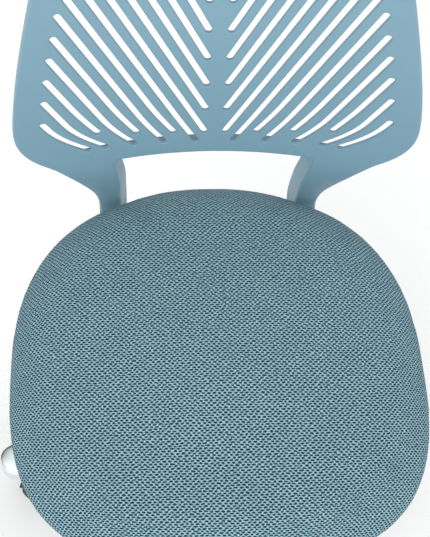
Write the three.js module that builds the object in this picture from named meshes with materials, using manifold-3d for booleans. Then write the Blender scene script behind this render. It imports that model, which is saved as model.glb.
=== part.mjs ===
// A swivel office chair: five-leg chromed base on twin-wheel castors, a gas lift in a steel column,
// a pressed mechanism plate with a release lever, an upholstered seat, and a one-piece slotted plastic
// backrest whose two arms run down behind the seat and are bolted under it.
// Millimetres, +Z up, the sitter faces -Y, the floor is z = 0. The pieces are laid out round the swivel
// axis, and at the end the whole chair is shifted so that the middle of its footprint is the origin.
import * as THREE from "three";
import { LoftGeometry } from "three/addons/geometries/LoftGeometry.js";
import { mergeVertices } from "three/addons/utils/BufferGeometryUtils.js";
import Module from "manifold-3d";

const wasm = await Module();
wasm.setup();

// ---------------------------------------------------------------- driving dimensions

const FIT = 0.3; // gap between pieces that touch
const RUN = 0.5; // radial clearance where one piece slides or turns in another

const SEAT = {
  halfWidth: 217, // at the widest line
  widestY: 8,
  backReach: 232, // from the widest line to the back edge
  frontReach: 218,
  backPower: 2.43, // roundness of the outline: 2 is an ellipse, more is squarer
  frontPower: 2.9,
  underside: 383, // lower face of the board with the lift at its lowest
  boardThickness: 10,
  rimRise: 32, // from the board's lower face up to the widest line
  sideTuck: 9, // how far the side draws in below the widest line
  shoulderRise: 24,
  shoulderWidth: 62,
  crownRise: 6,
  coverThickness: 2.5,
  hemWidth: 14,
  hemThickness: 1.2,
  steps: 36,
};

const UNDER_SHEET = { thickness: 1.2, gap: 6 }; // the felt sheet lies inside the cover's hem

const BACK = {
  wall: 4.5,
  depth: 22, // of the rim and of the arms
  rimWall: 4.5,
  frontY: 213.5, // front face at the reference height, on the centre line
  rise: 115, // of the reference height above the seat's underside
  referenceLean: -2.3, // degrees from upright, negative leans forward
  leanPerMetre: 39.7, // degrees that the face turns back for each metre up
  sideRadius: 496, // the face is hollow across its width by this radius
  bottomEdge: 22, // heights along the face, from the reference height
  topEdge: 352,
  topSag: 9, // the top edge is lower at its corners by this
  halfWidth: 205,
  widestHeight: 98,
  shoulderHalfWidth: 174,
  shoulderHeight: 270,
};

const ARM = {
  inner: 101, // half distance between the arms at the seat
  outer: 126,
  innerTop: 107, // where the inner edge leaves the panel's bottom edge
  flareLength: 70, // lengths of the stretches below the panel, along the face
  flareTurn: -12.6, // degrees
  lowerTurn: -2,
  bendRadius: 14,
  boltInset: 16, // from the front bolt to the foot's end
  boltPitch: 40,
  hemGap: 5, // from the rear bolt's head to the cover's hem
  draft: 7, // the inner side draws in towards the back by this
  draftFade: 14, // length over which it starts and ends
};

const SLOT = {
  width: 7.2,
  slope: 1.97, // rise for each mm outward
  firstHeight: 56, // inner end of the lowest slot that starts at the spine
  pitch: 35, // along the height
  spine: 11, // from the centre line to the slots' inner ends
  bendRise: 22, // the lower ends curl outward below this height over the end
  lowest: -8, // number of the outermost slot, counted down from the first at the spine
  outermostLong: -7,
  edgeMargin: 29, // plain border outside the outer ends
  topMargin: 26,
};

const BASE = {
  legs: 5,
  tipCentre: 252, // radius of the round tips' middles
  tipRadius: 25,
  stemInset: 12, // the castor stems stand nearer to the hub than the tips' middles
  hubRadius: 34,
  hubBottom: -10, // this and the next five heights are over the tips' underside
  hubTop: 60,
  rootBottom: 16,
  rootTop: 54,
  tipTop: 18,
  columnBottom: -22,
  legWall: 4,
};

const COLUMN = {
  outer: 25,
  bore: 22.5,
  floor: 3,
  shown: 67, // length of the cylinder that shows above the column with the lift at its lowest
};
const BUSH = { length: 78, flange: 3, flangeOver: 2 };
const BEARING = { washer: 2, cage: 3, outer: 15 };
const CYLINDER = {
  radius: 14,
  bore: 11,
  headroom: 25.2, // from its top to the mechanism's plate
  endWall: 12,
  travel: 100,
};
const ROD = { radius: 5, piston: 10, pistonRadius: 10.5, buffer: 9, clip: 2 };
const PIN = { radius: 4, proud: 6.5 };
const SOCKET = { wall: 4.5, length: 64.9, slotWidth: 10 };
const PLATE = { halfWidth: 74, length: 196, thickness: 4, flange: 26, boltX: 52, boltY: 80 };
const LEVER = {
  pivotX: -40,
  thickness: 6,
  height: 8,
  drop: 11, // the grip hangs lower than the bar by this
  reach: 205,
  gripLength: 62,
  gripHalfWidth: 13,
  gripHalfHeight: 6.5,
  eye: 8, // half size of the bracket's ears
  pin: 2.5,
};
const BOLT = { radius: 3, head: 6, headHeight: 4, clearance: 0.5 };
const CASTOR = {
  wheelRadius: 25,
  wheelWidth: 19,
  wheelSides: 16,
  web: 8,
  trail: 20,
  stem: 5.5,
  hood: 3,
  axle: 3.5,
  headroom: 12.5, // from the wheels' tops to the leg tips
  topGap: 4, // from the fork's boss to the leg tips
};

// ---------------------------------------------------------------- finishes

const finish = (color, roughness, metalness) =>
  new THREE.MeshStandardMaterial({ color, roughness, metalness });
const CHROME = finish(0xdfe6e6, 0.08, 1);
const STEEL = finish(0x9aa0a3, 0.35, 1);
const BLACK_STEEL = finish(0x1d1f21, 0.45, 0.3);
const BLACK_NYLON = finish(0x17191a, 0.55, 0);
const RUBBER = finish(0x101112, 0.85, 0);
const BACK_PLASTIC = finish(0x86abbd, 0.5, 0);
const FABRIC = finish(0x678691, 0.95, 0);
const FOAM = finish(0xe6dfc8, 0.95, 0);
const PLYWOOD = finish(0xc9a778, 0.7, 0);
const FELT = finish(0x242628, 0.95, 0);

// ---------------------------------------------------------------- shape helpers

const chair = new THREE.Group();
const radians = THREE.MathUtils.degToRad;

function addPiece(name, geometry, material, parent = chair) {
  const mesh = new THREE.Mesh(geometry, material);
  mesh.name = name;
  parent.add(mesh);
  return mesh;
}

// A closed mesh as a manifold solid: only its positions are kept, so that shared corners merge.
function toSolid(geometry) {
  const bare = new THREE.BufferGeometry();
  bare.setAttribute("position", geometry.getAttribute("position"));
  if (geometry.index) {
    bare.setIndex(geometry.index);
  }
  const merged = mergeVertices(bare, 1e-4);
  return new wasm.Manifold(
    new wasm.Mesh({
      numProp: 3,
      vertProperties: new Float32Array(merged.attributes.position.array),
      triVerts: new Uint32Array(merged.index.array),
    }),
  );
}

function fromSolid(solid) {
  const mesh = solid.getMesh();
  const geometry = new THREE.BufferGeometry();
  geometry.setAttribute("position", new THREE.BufferAttribute(new Float32Array(mesh.vertProperties), 3));
  geometry.setIndex(new THREE.BufferAttribute(new Uint32Array(mesh.triVerts), 1));
  geometry.computeVertexNormals();
  return geometry;
}

function join(...geometries) {
  const [first, ...rest] = geometries.map(toSolid);
  return fromSolid(rest.reduce((sum, solid) => sum.add(solid), first));
}

function cut(geometry, ...tools) {
  return fromSolid(tools.map(toSolid).reduce((body, tool) => body.subtract(tool), toSolid(geometry)));
}

// A turned solid about Z, from a profile of [radius, height] pairs that runs anticlockwise in that plane.
function turned(profile, sides = 24, phase = 0) {
  const points = profile.map(([radius, height]) => new THREE.Vector2(radius, height));
  points.push(points[0].clone());
  return new THREE.LatheGeometry(points, sides, phase).rotateX(Math.PI / 2);
}

function rod(radius, bottom, top, sides = 16) {
  const geometry = new THREE.CylinderGeometry(radius, radius, top - bottom, sides);
  return geometry.rotateX(Math.PI / 2).translate(0, 0, (top + bottom) / 2);
}

function ring(outer, inner, bottom, top, sides = 24) {
  const profile = [
    [inner, bottom],
    [outer, bottom],
    [outer, top],
    [inner, top],
  ];
  return turned(profile, sides);
}

function box(x, y, z, at) {
  return new THREE.BoxGeometry(x, y, z).translate(...at);
}

// A plate from a shape drawn in plan, between two heights.
function plate(shape, bottom, top) {
  const options = { depth: top - bottom, bevelEnabled: false, curveSegments: 6 };
  return new THREE.ExtrudeGeometry(shape, options).translate(0, 0, bottom);
}

function roundHole(x, y, radius) {
  return new THREE.Path().absarc(x, y, radius, 0, 2 * Math.PI, true);
}

const shift = (geometry, x, y, z) => geometry.clone().translate(x, y, z);

// ---------------------------------------------------------------- seat

// Point of the seat's outline at an angle, drawn in by an inset.
function seatPoint(angle, inset, z) {
  const across = Math.cos(angle);
  const along = Math.sin(angle);
  const power = along > 0 ? SEAT.backPower : SEAT.frontPower;
  const reach = (along > 0 ? SEAT.backReach : SEAT.frontReach) - inset;
  const half = SEAT.halfWidth - inset;
  const scale = (Math.abs(across / half) ** power + Math.abs(along / reach) ** power) ** (-1 / power);
  return new THREE.Vector3(scale * across, SEAT.widestY + scale * along, z);
}

function seatRing(inset, z) {
  return Array.from({ length: SEAT.steps }, (_, i) => seatPoint((2 * Math.PI * i) / SEAT.steps, inset, z));
}

function seatPlate(inset, bottom, top) {
  return new LoftGeometry([seatRing(inset, bottom), seatRing(inset, top)], { capStart: true, capEnd: true });
}

// The padded form: it draws in under the widest line, rounds over a shoulder and rises to a low crown.
// skin is the distance that the form lies inside the cover's outer face.
function padForm(bottom, skin) {
  const rimZ = SEAT.underside + SEAT.rimRise;
  const loops = [];
  for (const part of [0, 0.5]) {
    const tuck = SEAT.sideTuck * (1 - part) ** 2;
    loops.push(seatRing(skin + tuck, bottom + (rimZ - bottom) * part));
  }
  for (const degrees of [0, 25, 50, 72, 90]) {
    const turn = radians(degrees);
    const inset = (SEAT.shoulderWidth - skin) * (1 - Math.cos(turn)) + skin;
    loops.push(seatRing(inset, rimZ + (SEAT.shoulderRise - skin) * Math.sin(turn)));
  }
  const shoulderZ = rimZ + SEAT.shoulderRise - skin;
  const flat = SEAT.halfWidth - SEAT.shoulderWidth;
  for (const part of [0.4, 0.8]) {
    const rise = (SEAT.crownRise * (1 - Math.cos(Math.PI * part))) / 2;
    loops.push(seatRing(SEAT.shoulderWidth + flat * part, shoulderZ + rise));
  }
  return new LoftGeometry(loops, { capStart: true, capEnd: true });
}

const boardInset = SEAT.sideTuck + SEAT.coverThickness + FIT;
const boardTop = SEAT.underside + SEAT.boardThickness;
const hemTop = SEAT.underside - FIT;
const hemBottom = hemTop - SEAT.hemThickness;
const fixingTop = hemBottom - FIT; // everything bolted under the seat reaches up to here
const boltTop = boardTop - 2;
const plateBottom = fixingTop - PLATE.thickness;
const cylinderTop = plateBottom - CYLINDER.headroom;
const columnTop = cylinderTop - COLUMN.shown;

// Heights of the base, over the castors.
const axleHeight = CASTOR.wheelRadius * Math.cos(Math.PI / CASTOR.wheelSides);
const tipBottom = axleHeight + CASTOR.wheelRadius + CASTOR.headroom;
const tipTop = tipBottom + BASE.tipTop;
const rootBottom = tipBottom + BASE.rootBottom;
const rootTop = tipBottom + BASE.rootTop;
const hubBottom = tipBottom + BASE.hubBottom;
const hubTop = tipBottom + BASE.hubTop;
const columnBottom = tipBottom + BASE.columnBottom;

const plateBolts = [-1, 1].flatMap((sx) => [-1, 1].map((sy) => [sx * PLATE.boltX, sy * PLATE.boltY]));

function drillSeat(geometry, bottom, top) {
  const drills = [...plateBolts, ...backBolts].map(([x, y]) =>
    shift(rod(BOLT.radius + BOLT.clearance, bottom - 1, top + 1, 12), x, y, 0),
  );
  return cut(geometry, ...drills);
}

function buildSeat() {
  const skin = SEAT.coverThickness;
  const board = seatPlate(boardInset, SEAT.underside, boardTop);
  addPiece("seat_board", drillSeat(board, SEAT.underside, boardTop), PLYWOOD);
  addPiece("seat_foam", padForm(boardTop + FIT, skin + FIT), FOAM);
  const shell = padForm(hemBottom, 0);
  const hollow = padForm(hemTop, skin);
  const mouth = seatPlate(hemInset, hemBottom - 1, hemTop + 1);
  addPiece("seat_cover", cut(shell, hollow, mouth), FABRIC);
  const sheetTop = SEAT.underside - FIT;
  const sheetBottom = sheetTop - UNDER_SHEET.thickness;
  const sheet = seatPlate(hemInset + UNDER_SHEET.gap, sheetBottom, sheetTop);
  addPiece("dust_cover", drillSeat(sheet, sheetBottom, sheetTop), FELT);
}

// ---------------------------------------------------------------- backrest

// The backrest is drawn flat, x across and t up its face, with the face at depth 0, and then bent to the
// path of its centre line: an upright, slightly turning stretch, and below it the arms' stretch, which
// leans back, turns forward round the seat's edge and ends as a level foot under the board.
// Follows an arc of the path that turns evenly by an angle over its length. Up the path is +1.
function walk(start, length, turn, direction) {
  const half = turn / 2;
  const chord = half === 0 ? length : (length * Math.sin(half)) / half;
  return {
    lean: start.lean + turn,
    y: start.y + direction * chord * Math.sin(start.lean + half),
    z: start.z + direction * chord * Math.cos(start.lean + half),
  };
}

const reference = { lean: radians(BACK.referenceLean), y: BACK.frontY, z: SEAT.underside + BACK.rise };
const turnUp = (length) => radians(BACK.leanPerMetre * length) / 1000;
const panelBottom = walk(reference, BACK.bottomEdge, turnUp(BACK.bottomEdge), 1);

const flare = { length: ARM.flareLength, turn: radians(ARM.flareTurn) };
const flareEnd = walk(panelBottom, flare.length, flare.turn, -1);
const lower = { length: 0, turn: radians(ARM.lowerTurn) };
const bendLean = flareEnd.lean + lower.turn;
const bendDrop = ARM.bendRadius * (1 - Math.sin(bendLean));
lower.length = (flareEnd.z - bendDrop - fixingTop) / Math.cos(flareEnd.lean + lower.turn / 2);
const bend = { turn: Math.PI / 2 - bendLean };
bend.length = ARM.bendRadius * bend.turn;
const footStart = walk(walk(flareEnd, lower.length, lower.turn, -1), bend.length, bend.turn, -1);

// The feet are bolted through the board, clear of the cover's hem.
const armMiddle = (ARM.inner + ARM.outer) / 2;
const hemInset = boardInset + SEAT.hemWidth;
const hemPart = 1 - (armMiddle / (SEAT.halfWidth - hemInset)) ** SEAT.backPower;
const hemY = SEAT.widestY + (SEAT.backReach - hemInset) * hemPart ** (1 / SEAT.backPower);
const rearBoltY = hemY - ARM.hemGap - BOLT.head;
const boltYs = [rearBoltY - ARM.boltPitch, rearBoltY];
const foot = { length: footStart.y - boltYs[0] + ARM.boltInset, turn: 0 };

// Flat heights where the stretches below the panel end.
const flareT = BACK.bottomEdge - flare.length;
const bendStartT = flareT - lower.length;
const bendEndT = bendStartT - bend.length;
const footT = bendEndT - foot.length;
const boltHeights = boltYs.map((y) => bendEndT - (footStart.y - y));
const backBolts = [-1, 1].flatMap((side) => boltYs.map((y) => [side * armMiddle, y]));

function pathAt(t) {
  if (t >= BACK.bottomEdge) {
    return walk(reference, t, turnUp(t), 1);
  }
  let state = panelBottom;
  let left = BACK.bottomEdge - t;
  for (const stretch of [flare, lower, bend, foot]) {
    const part = Math.min(1, left / stretch.length);
    state = walk(state, stretch.length * part, stretch.turn * part, -1);
    left -= stretch.length * part;
    if (left <= 1e-9) {
      break;
    }
  }
  return state;
}

function bendPoint(x, t, depth) {
  const state = pathAt(t);
  const hollowPart = THREE.MathUtils.smoothstep(t, bendStartT, BACK.bottomEdge);
  const hollow = (hollowPart * x * x) / (2 * BACK.sideRadius);
  const across = THREE.MathUtils.clamp((ARM.outer - Math.abs(x)) / (ARM.outer - ARM.inner), 0, 1);
  const fade = THREE.MathUtils.clamp(Math.min(BACK.bottomEdge - t, t - bendEndT) / ARM.draftFade, 0, 1);
  const draft = (ARM.draft * across * fade * depth) / BACK.depth;
  const y = state.y + depth * Math.cos(state.lean) - hollow;
  const z = state.z - depth * Math.sin(state.lean);
  return new THREE.Vector3(x - Math.sign(x) * draft, y, z);
}

// Right half of the panel's edge, from the bottom centre to the top centre, drawn in by an inset.
function drawPanelSide(path, inset, fromBottom) {
  const half = BACK.halfWidth - inset;
  const shoulder = BACK.shoulderHalfWidth - inset;
  const widest = BACK.widestHeight;
  const top = BACK.topEdge - inset;
  fromBottom(path, half, widest);
  const shoulderZ = BACK.shoulderHeight;
  path.bezierCurveTo(half, widest + 37, shoulder + 14, shoulderZ - 57, shoulder, shoulderZ);
  const cornerX = shoulder - 50;
  const cornerY = top - BACK.topSag;
  path.bezierCurveTo(shoulder - 13, shoulderZ + 48, cornerX + 30, cornerY - 2, cornerX, cornerY);
  path.quadraticCurveTo(cornerX / 2, top, 0, top);
}

// A closed, symmetric shape from the points of its right half, bottom centre first.
function mirrored(points) {
  const left = points.filter((p) => p.x > 1e-6).map((p) => new THREE.Vector2(-p.x, p.y));
  return new THREE.Shape([...points, ...left.reverse()]);
}

function mouldingOutline() {
  const path = new THREE.Path().moveTo(0, BACK.bottomEdge);
  drawPanelSide(path, 0, (p, half, widest) => {
    p.lineTo(ARM.innerTop - 8, BACK.bottomEdge);
    p.quadraticCurveTo(ARM.innerTop, BACK.bottomEdge, ARM.innerTop - 1, BACK.bottomEdge - 8);
    p.bezierCurveTo(ARM.innerTop - 3, flareT + 46, ARM.inner, flareT + 18, ARM.inner, flareT);
    p.lineTo(ARM.inner, bendStartT);
    p.lineTo(ARM.inner, footT + 4);
    p.lineTo(ARM.inner + 4, footT);
    p.lineTo(ARM.outer - 4, footT);
    p.lineTo(ARM.outer, footT + 4);
    p.lineTo(ARM.outer, bendStartT);
    const corner = [THREE.MathUtils.lerp(ARM.outer, half, 0.61), BACK.bottomEdge + 11];
    p.bezierCurveTo(ARM.outer, corner[1] - 78, corner[0] - 25, corner[1] - 25, corner[0], corner[1]);
    p.bezierCurveTo(corner[0] + 14, corner[1] + 14, half, widest - 30, half, widest);
  });
  return mirrored(path.getPoints(6));
}

function pocketOutline() {
  const inset = BACK.rimWall;
  const bottom = BACK.bottomEdge + inset;
  const path = new THREE.Path().moveTo(0, bottom);
  drawPanelSide(path, inset, (p, half, widest) => {
    p.lineTo(half - 50, bottom);
    p.bezierCurveTo(half - 28, bottom + 2, half, widest - 36, half, widest);
  });
  return mirrored(path.getPoints(5));
}

// Panel half width at a height, for the outer ends of the slots.
function panelHalfWidth(t) {
  const above = Math.max(0, t - BACK.widestHeight);
  const span = BACK.shoulderHeight - BACK.widestHeight;
  return BACK.halfWidth - (BACK.halfWidth - BACK.shoulderHalfWidth) * (above / span) ** 1.4;
}

// Centre line of a slot: straight and rising outward, with its lower end curled outward. Slots below
// the first one start on the bottom border, in turn short and long, and the outermost are long.
function slotLine(index) {
  const heightAt = (x) => SLOT.firstHeight + SLOT.pitch * index + SLOT.slope * (x - SLOT.spine);
  const xAt = (height) => SLOT.spine + (height - SLOT.firstHeight - SLOT.pitch * index) / SLOT.slope;
  const points = [];
  if (index < 0) {
    const long = index % 2 !== 0 || index <= SLOT.outermostLong;
    const endHeight = SLOT.firstHeight + (long ? 0.9 * -index - 15 : 0.44 * index * index);
    const control = new THREE.Vector2(xAt(endHeight + SLOT.bendRise), endHeight + SLOT.bendRise);
    const steepness = long ? Math.max(0.78, 1.9 - 0.17 * -index) : 1.5;
    const end = new THREE.Vector2(control.x - SLOT.bendRise / steepness, endHeight);
    const onLine = new THREE.Vector2(xAt(control.y + SLOT.bendRise), control.y + SLOT.bendRise);
    points.push(...new THREE.QuadraticBezierCurve(end, control, onLine).getPoints(3));
  } else {
    points.push(new THREE.Vector2(SLOT.spine, heightAt(SLOT.spine)));
  }
  let outerX = points.at(-1).x;
  const fits = (x) => {
    const height = heightAt(x);
    const topLimit = BACK.topEdge - BACK.topSag * (x / BACK.shoulderHalfWidth) ** 2 - SLOT.topMargin;
    return x < panelHalfWidth(height) - SLOT.edgeMargin && height < topLimit;
  };
  while (fits(outerX + 0.5)) {
    outerX += 0.5;
  }
  points.push(new THREE.Vector2(outerX, heightAt(outerX)));
  return points;
}

// A slot's edge: its centre line widened both ways, with round ends.
function slotPath(line, side) {
  const half = SLOT.width / 2;
  const headings = line.map((point, i) => {
    const before = line[Math.max(0, i - 1)];
    const after = line[Math.min(line.length - 1, i + 1)];
    return Math.atan2(after.y - before.y, after.x - before.x);
  });
  const offset = (point, heading, turn) =>
    new THREE.Vector2(point.x + half * Math.cos(heading + turn), point.y + half * Math.sin(heading + turn));
  const right = line.map((point, i) => offset(point, headings[i], -Math.PI / 2));
  const left = line.map((point, i) => offset(point, headings[i], Math.PI / 2)).reverse();
  const outerTip = offset(line.at(-1), headings.at(-1), 0);
  const innerTip = offset(line[0], headings[0], Math.PI);
  const edge = [...right, outerTip, ...left, innerTip];
  return new THREE.Path(edge.map((point) => new THREE.Vector2(side * point.x, point.y)));
}

function slotIndexes() {
  const indexes = [];
  for (let index = SLOT.lowest; ; index += 1) {
    const line = slotLine(index);
    const last = line.at(-1);
    if (last.y - line[0].y < 3 * SLOT.width) {
      break;
    }
    indexes.push(index);
  }
  return indexes;
}

// Cuts convex polygons in two along a plane, x or y equal to a value. Both neighbours of an edge find
// the same crossing point, so the surface stays closed.
function slice(polygons, axis, value) {
  const nearest = 1e-4;
  const crossing = (a, b) => {
    const [low, high] = a[axis] < b[axis] ? [a, b] : [b, a];
    const point = low.clone().lerp(high, (value - low[axis]) / (high[axis] - low[axis]));
    point[axis] = value;
    return point;
  };
  return polygons.flatMap((corners) => {
    const away = corners.map((corner) => corner[axis] - value);
    if (Math.max(...away) < nearest || Math.min(...away) > -nearest) {
      return [corners];
    }
    const below = [];
    const above = [];
    corners.forEach((corner, i) => {
      const next = (i + 1) % corners.length;
      if (away[i] < nearest) {
        below.push(corner);
      }
      if (away[i] > -nearest) {
        above.push(corner);
      }
      if (Math.abs(away[i]) >= nearest && Math.abs(away[next]) >= nearest && away[i] * away[next] < 0) {
        const point = crossing(corner, corners[next]);
        below.push(point);
        above.push(point);
      }
    });
    return [below, above];
  });
}

function trianglesOf(geometry) {
  const source = (geometry.index ? geometry.toNonIndexed() : geometry).getAttribute("position");
  const triangles = [];
  for (let i = 0; i < source.count; i += 3) {
    triangles.push([0, 1, 2].map((k) => new THREE.Vector3().fromBufferAttribute(source, i + k)));
  }
  return triangles;
}

// Evenly spaced values from one end to the other, both left out.
function between(from, to, spacing) {
  const count = Math.max(1, Math.round(Math.abs(to - from) / spacing));
  return Array.from({ length: count - 1 }, (_, i) => from + ((to - from) * (i + 1)) / count);
}

function buildBack() {
  const outline = mouldingOutline();
  const face = new THREE.Shape(outline.getPoints());
  const rim = new THREE.Shape(outline.getPoints());
  for (const side of [-1, 1]) {
    for (const index of slotIndexes()) {
      face.holes.push(slotPath(slotLine(index), side));
    }
    for (const t of boltHeights) {
      face.holes.push(roundHole(side * armMiddle, t, BOLT.radius + BOLT.clearance));
      rim.holes.push(roundHole(side * armMiddle, t, BOLT.radius + BOLT.clearance));
    }
  }
  rim.holes.push(pocketOutline());
  const overlap = 0.5;
  const flat = join(plate(face, -BACK.wall, 0), plate(rim, -BACK.depth, overlap - BACK.wall));
  const heights = [
    ...between(BACK.topEdge, BACK.bottomEdge, 110),
    BACK.bottomEdge,
    BACK.bottomEdge - ARM.draftFade,
    ...between(BACK.bottomEdge, flareT, 35),
    flareT,
    bendStartT,
    ...between(bendStartT, bendEndT, 4.4),
    bendEndT,
  ];
  const widths = between(-BACK.halfWidth, BACK.halfWidth, 137);
  let polygons = trianglesOf(flat);
  heights.forEach((height) => {
    polygons = slice(polygons, "y", height);
  });
  widths.forEach((width) => {
    polygons = slice(polygons, "x", width);
  });
  const fan = (corners) => corners.slice(2).flatMap((corner, i) => [corners[0], corners[i + 1], corner]);
  const geometry = new THREE.BufferGeometry().setFromPoints(polygons.flatMap(fan));
  const position = geometry.getAttribute("position");
  for (let i = 0; i < position.count; i += 1) {
    const bent = bendPoint(position.getX(i), position.getY(i), -position.getZ(i));
    position.setXYZ(i, bent.x, bent.y, bent.z);
  }
  geometry.computeVertexNormals();
  addPiece("back_shell", geometry, BACK_PLASTIC);
}

// ---------------------------------------------------------------- fasteners

function bolt(headBottom, tip) {
  const shank = rod(BOLT.radius, headBottom + BOLT.headHeight - 1, tip, 10);
  return join(rod(BOLT.head, headBottom, headBottom + BOLT.headHeight, 10), shank);
}

function buildBolts() {
  const plateHead = fixingTop - PLATE.thickness - FIT - BOLT.headHeight;
  const backHead = fixingTop - BACK.depth - FIT - BOLT.headHeight;
  plateBolts.forEach(([x, y], i) => {
    addPiece(`mechanism_bolt_${i + 1}`, shift(bolt(plateHead, boltTop), x, y, 0), STEEL);
  });
  backBolts.forEach(([x, y], i) => {
    addPiece(`back_bolt_${i + 1}`, shift(bolt(backHead, boltTop), x, y, 0), STEEL);
  });
}

// ---------------------------------------------------------------- mechanism and lever

const pinTop = cylinderTop + PIN.proud;
const leverBottom = pinTop + FIT;
const leverMiddle = leverBottom + LEVER.height / 2;

function buildMechanism() {
  const { halfWidth, length, thickness, flange } = PLATE;
  const deck = box(2 * halfWidth, length, thickness, [0, 0, fixingTop - thickness / 2]);
  const sides = [-1, 1].map((side) =>
    box(thickness, length, flange, [side * (halfWidth - thickness / 2), 0, fixingTop - flange / 2]),
  );
  const drills = plateBolts.map(([x, y]) =>
    shift(rod(BOLT.radius + BOLT.clearance, plateBottom - 1, fixingTop + 1, 12), x, y, 0),
  );
  const swing = LEVER.thickness + 4 * RUN;
  const window = box(3 * thickness, swing, flange, [-halfWidth, 0, plateBottom - flange / 2 - FIT]);
  addPiece("mechanism_plate", cut(join(deck, ...sides), ...drills, window), BLACK_STEEL);

  const socketOuter = CYLINDER.radius + FIT + SOCKET.wall;
  const socketTop = plateBottom - FIT;
  const socket = ring(socketOuter, CYLINDER.radius + FIT, socketTop - SOCKET.length, socketTop);
  const slotBottom = cylinderTop + 1;
  const slotHeight = plateBottom - slotBottom + 2;
  const slot = box(socketOuter, SOCKET.slotWidth, slotHeight, [-socketOuter, 0, slotBottom + slotHeight / 2]);
  addPiece("taper_socket", cut(socket, slot), BLACK_STEEL);
}

const earThickness = 3;
const earInner = LEVER.thickness / 2 + 1;

function buildLever() {
  const pinBore = LEVER.pin + FIT;
  const ears = [-1, 1].map((side) => {
    const y = side * (earInner + earThickness / 2);
    const low = leverMiddle - LEVER.eye;
    const high = plateBottom - FIT;
    return box(2 * LEVER.eye, earThickness, high - low, [LEVER.pivotX, y, (high + low) / 2]);
  });
  const bridgeTop = plateBottom - FIT;
  const bridge = box(2 * LEVER.eye, 2 * (earInner + earThickness), 3, [LEVER.pivotX, 0, bridgeTop - 1.5]);
  const cross = (radius, half, sides) => {
    const geometry = new THREE.CylinderGeometry(radius, radius, 2 * half, sides);
    return geometry.translate(LEVER.pivotX, 0, leverMiddle);
  };
  const reach = earInner + earThickness;
  addPiece("lever_bracket", cut(join(...ears, bridge), cross(pinBore, reach + 1, 12)), STEEL);
  addPiece("lever_pivot_pin", cross(LEVER.pin, reach + 2, 12), STEEL);

  // The lever is a flat bar with an eye; its outer arm runs level past the plate's flange, then drops.
  const half = LEVER.height / 2;
  const gripStart = -LEVER.reach + LEVER.gripLength + 3;
  const kneeX = -PLATE.halfWidth - 8;
  const outline = new THREE.Shape();
  outline.moveTo(PIN.radius, leverMiddle - half);
  outline.lineTo(PIN.radius, leverMiddle + half - 3);
  outline.lineTo(LEVER.pivotX + 7, leverMiddle + half - 1);
  outline.absarc(LEVER.pivotX, leverMiddle, half + 2, radians(40), radians(140), false);
  outline.lineTo(kneeX, leverMiddle + half - 1);
  outline.lineTo(gripStart, leverMiddle + half - LEVER.drop);
  outline.lineTo(-LEVER.reach + 8, leverMiddle + half - LEVER.drop);
  outline.lineTo(-LEVER.reach + 8, leverMiddle - half - LEVER.drop);
  outline.lineTo(gripStart, leverMiddle - half - LEVER.drop);
  outline.lineTo(kneeX, leverMiddle - half);
  outline.absarc(LEVER.pivotX, leverMiddle, half + 2, radians(220), radians(320), false);
  outline.holes.push(roundHole(LEVER.pivotX, leverMiddle, pinBore));
  const options = { depth: LEVER.thickness, bevelEnabled: false, curveSegments: 5 };
  const bar = new THREE.ExtrudeGeometry(outline, options);
  bar.rotateX(Math.PI / 2).translate(0, LEVER.thickness / 2, 0);
  addPiece("lever_arm", bar, STEEL);

  const gripZ = leverMiddle - LEVER.drop;
  const gripX = -LEVER.reach + LEVER.gripLength / 2;
  const sections = [0, 0.12, 0.5, 0.88, 1].map((part) => {
    const x = -LEVER.reach + LEVER.gripLength * (1 - part);
    const swell = [0.72, 1, 1.08, 1, 0.72][Math.round(part * 4)];
    return Array.from({ length: 12 }, (_, i) => {
      const turn = (-2 * Math.PI * i) / 12;
      const y = LEVER.gripHalfWidth * swell * Math.cos(turn);
      return new THREE.Vector3(x, y, gripZ + LEVER.gripHalfHeight * swell * Math.sin(turn));
    });
  });
  const grip = new LoftGeometry(sections, { capStart: true, capEnd: true });
  const sleeveAt = [gripX + 8 - FIT, 0, gripZ];
  const sleeve = box(LEVER.gripLength, LEVER.thickness + 2 * FIT, LEVER.height + 2 * FIT, sleeveAt);
  addPiece("lever_grip", cut(grip, sleeve), BLACK_NYLON);
}

// ---------------------------------------------------------------- gas lift and column

const plateTop = columnBottom + COLUMN.floor;
const lowerWasherTop = plateTop + FIT + BEARING.washer;
const cageTop = lowerWasherTop + FIT + BEARING.cage;
const upperWasherTop = cageTop + FIT + BEARING.washer;
const bufferBottom = upperWasherTop + FIT;
const cylinderBottom = bufferBottom + ROD.buffer + FIT;
const pistonBottom = cylinderBottom + CYLINDER.endWall + CYLINDER.travel + 5;

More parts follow.
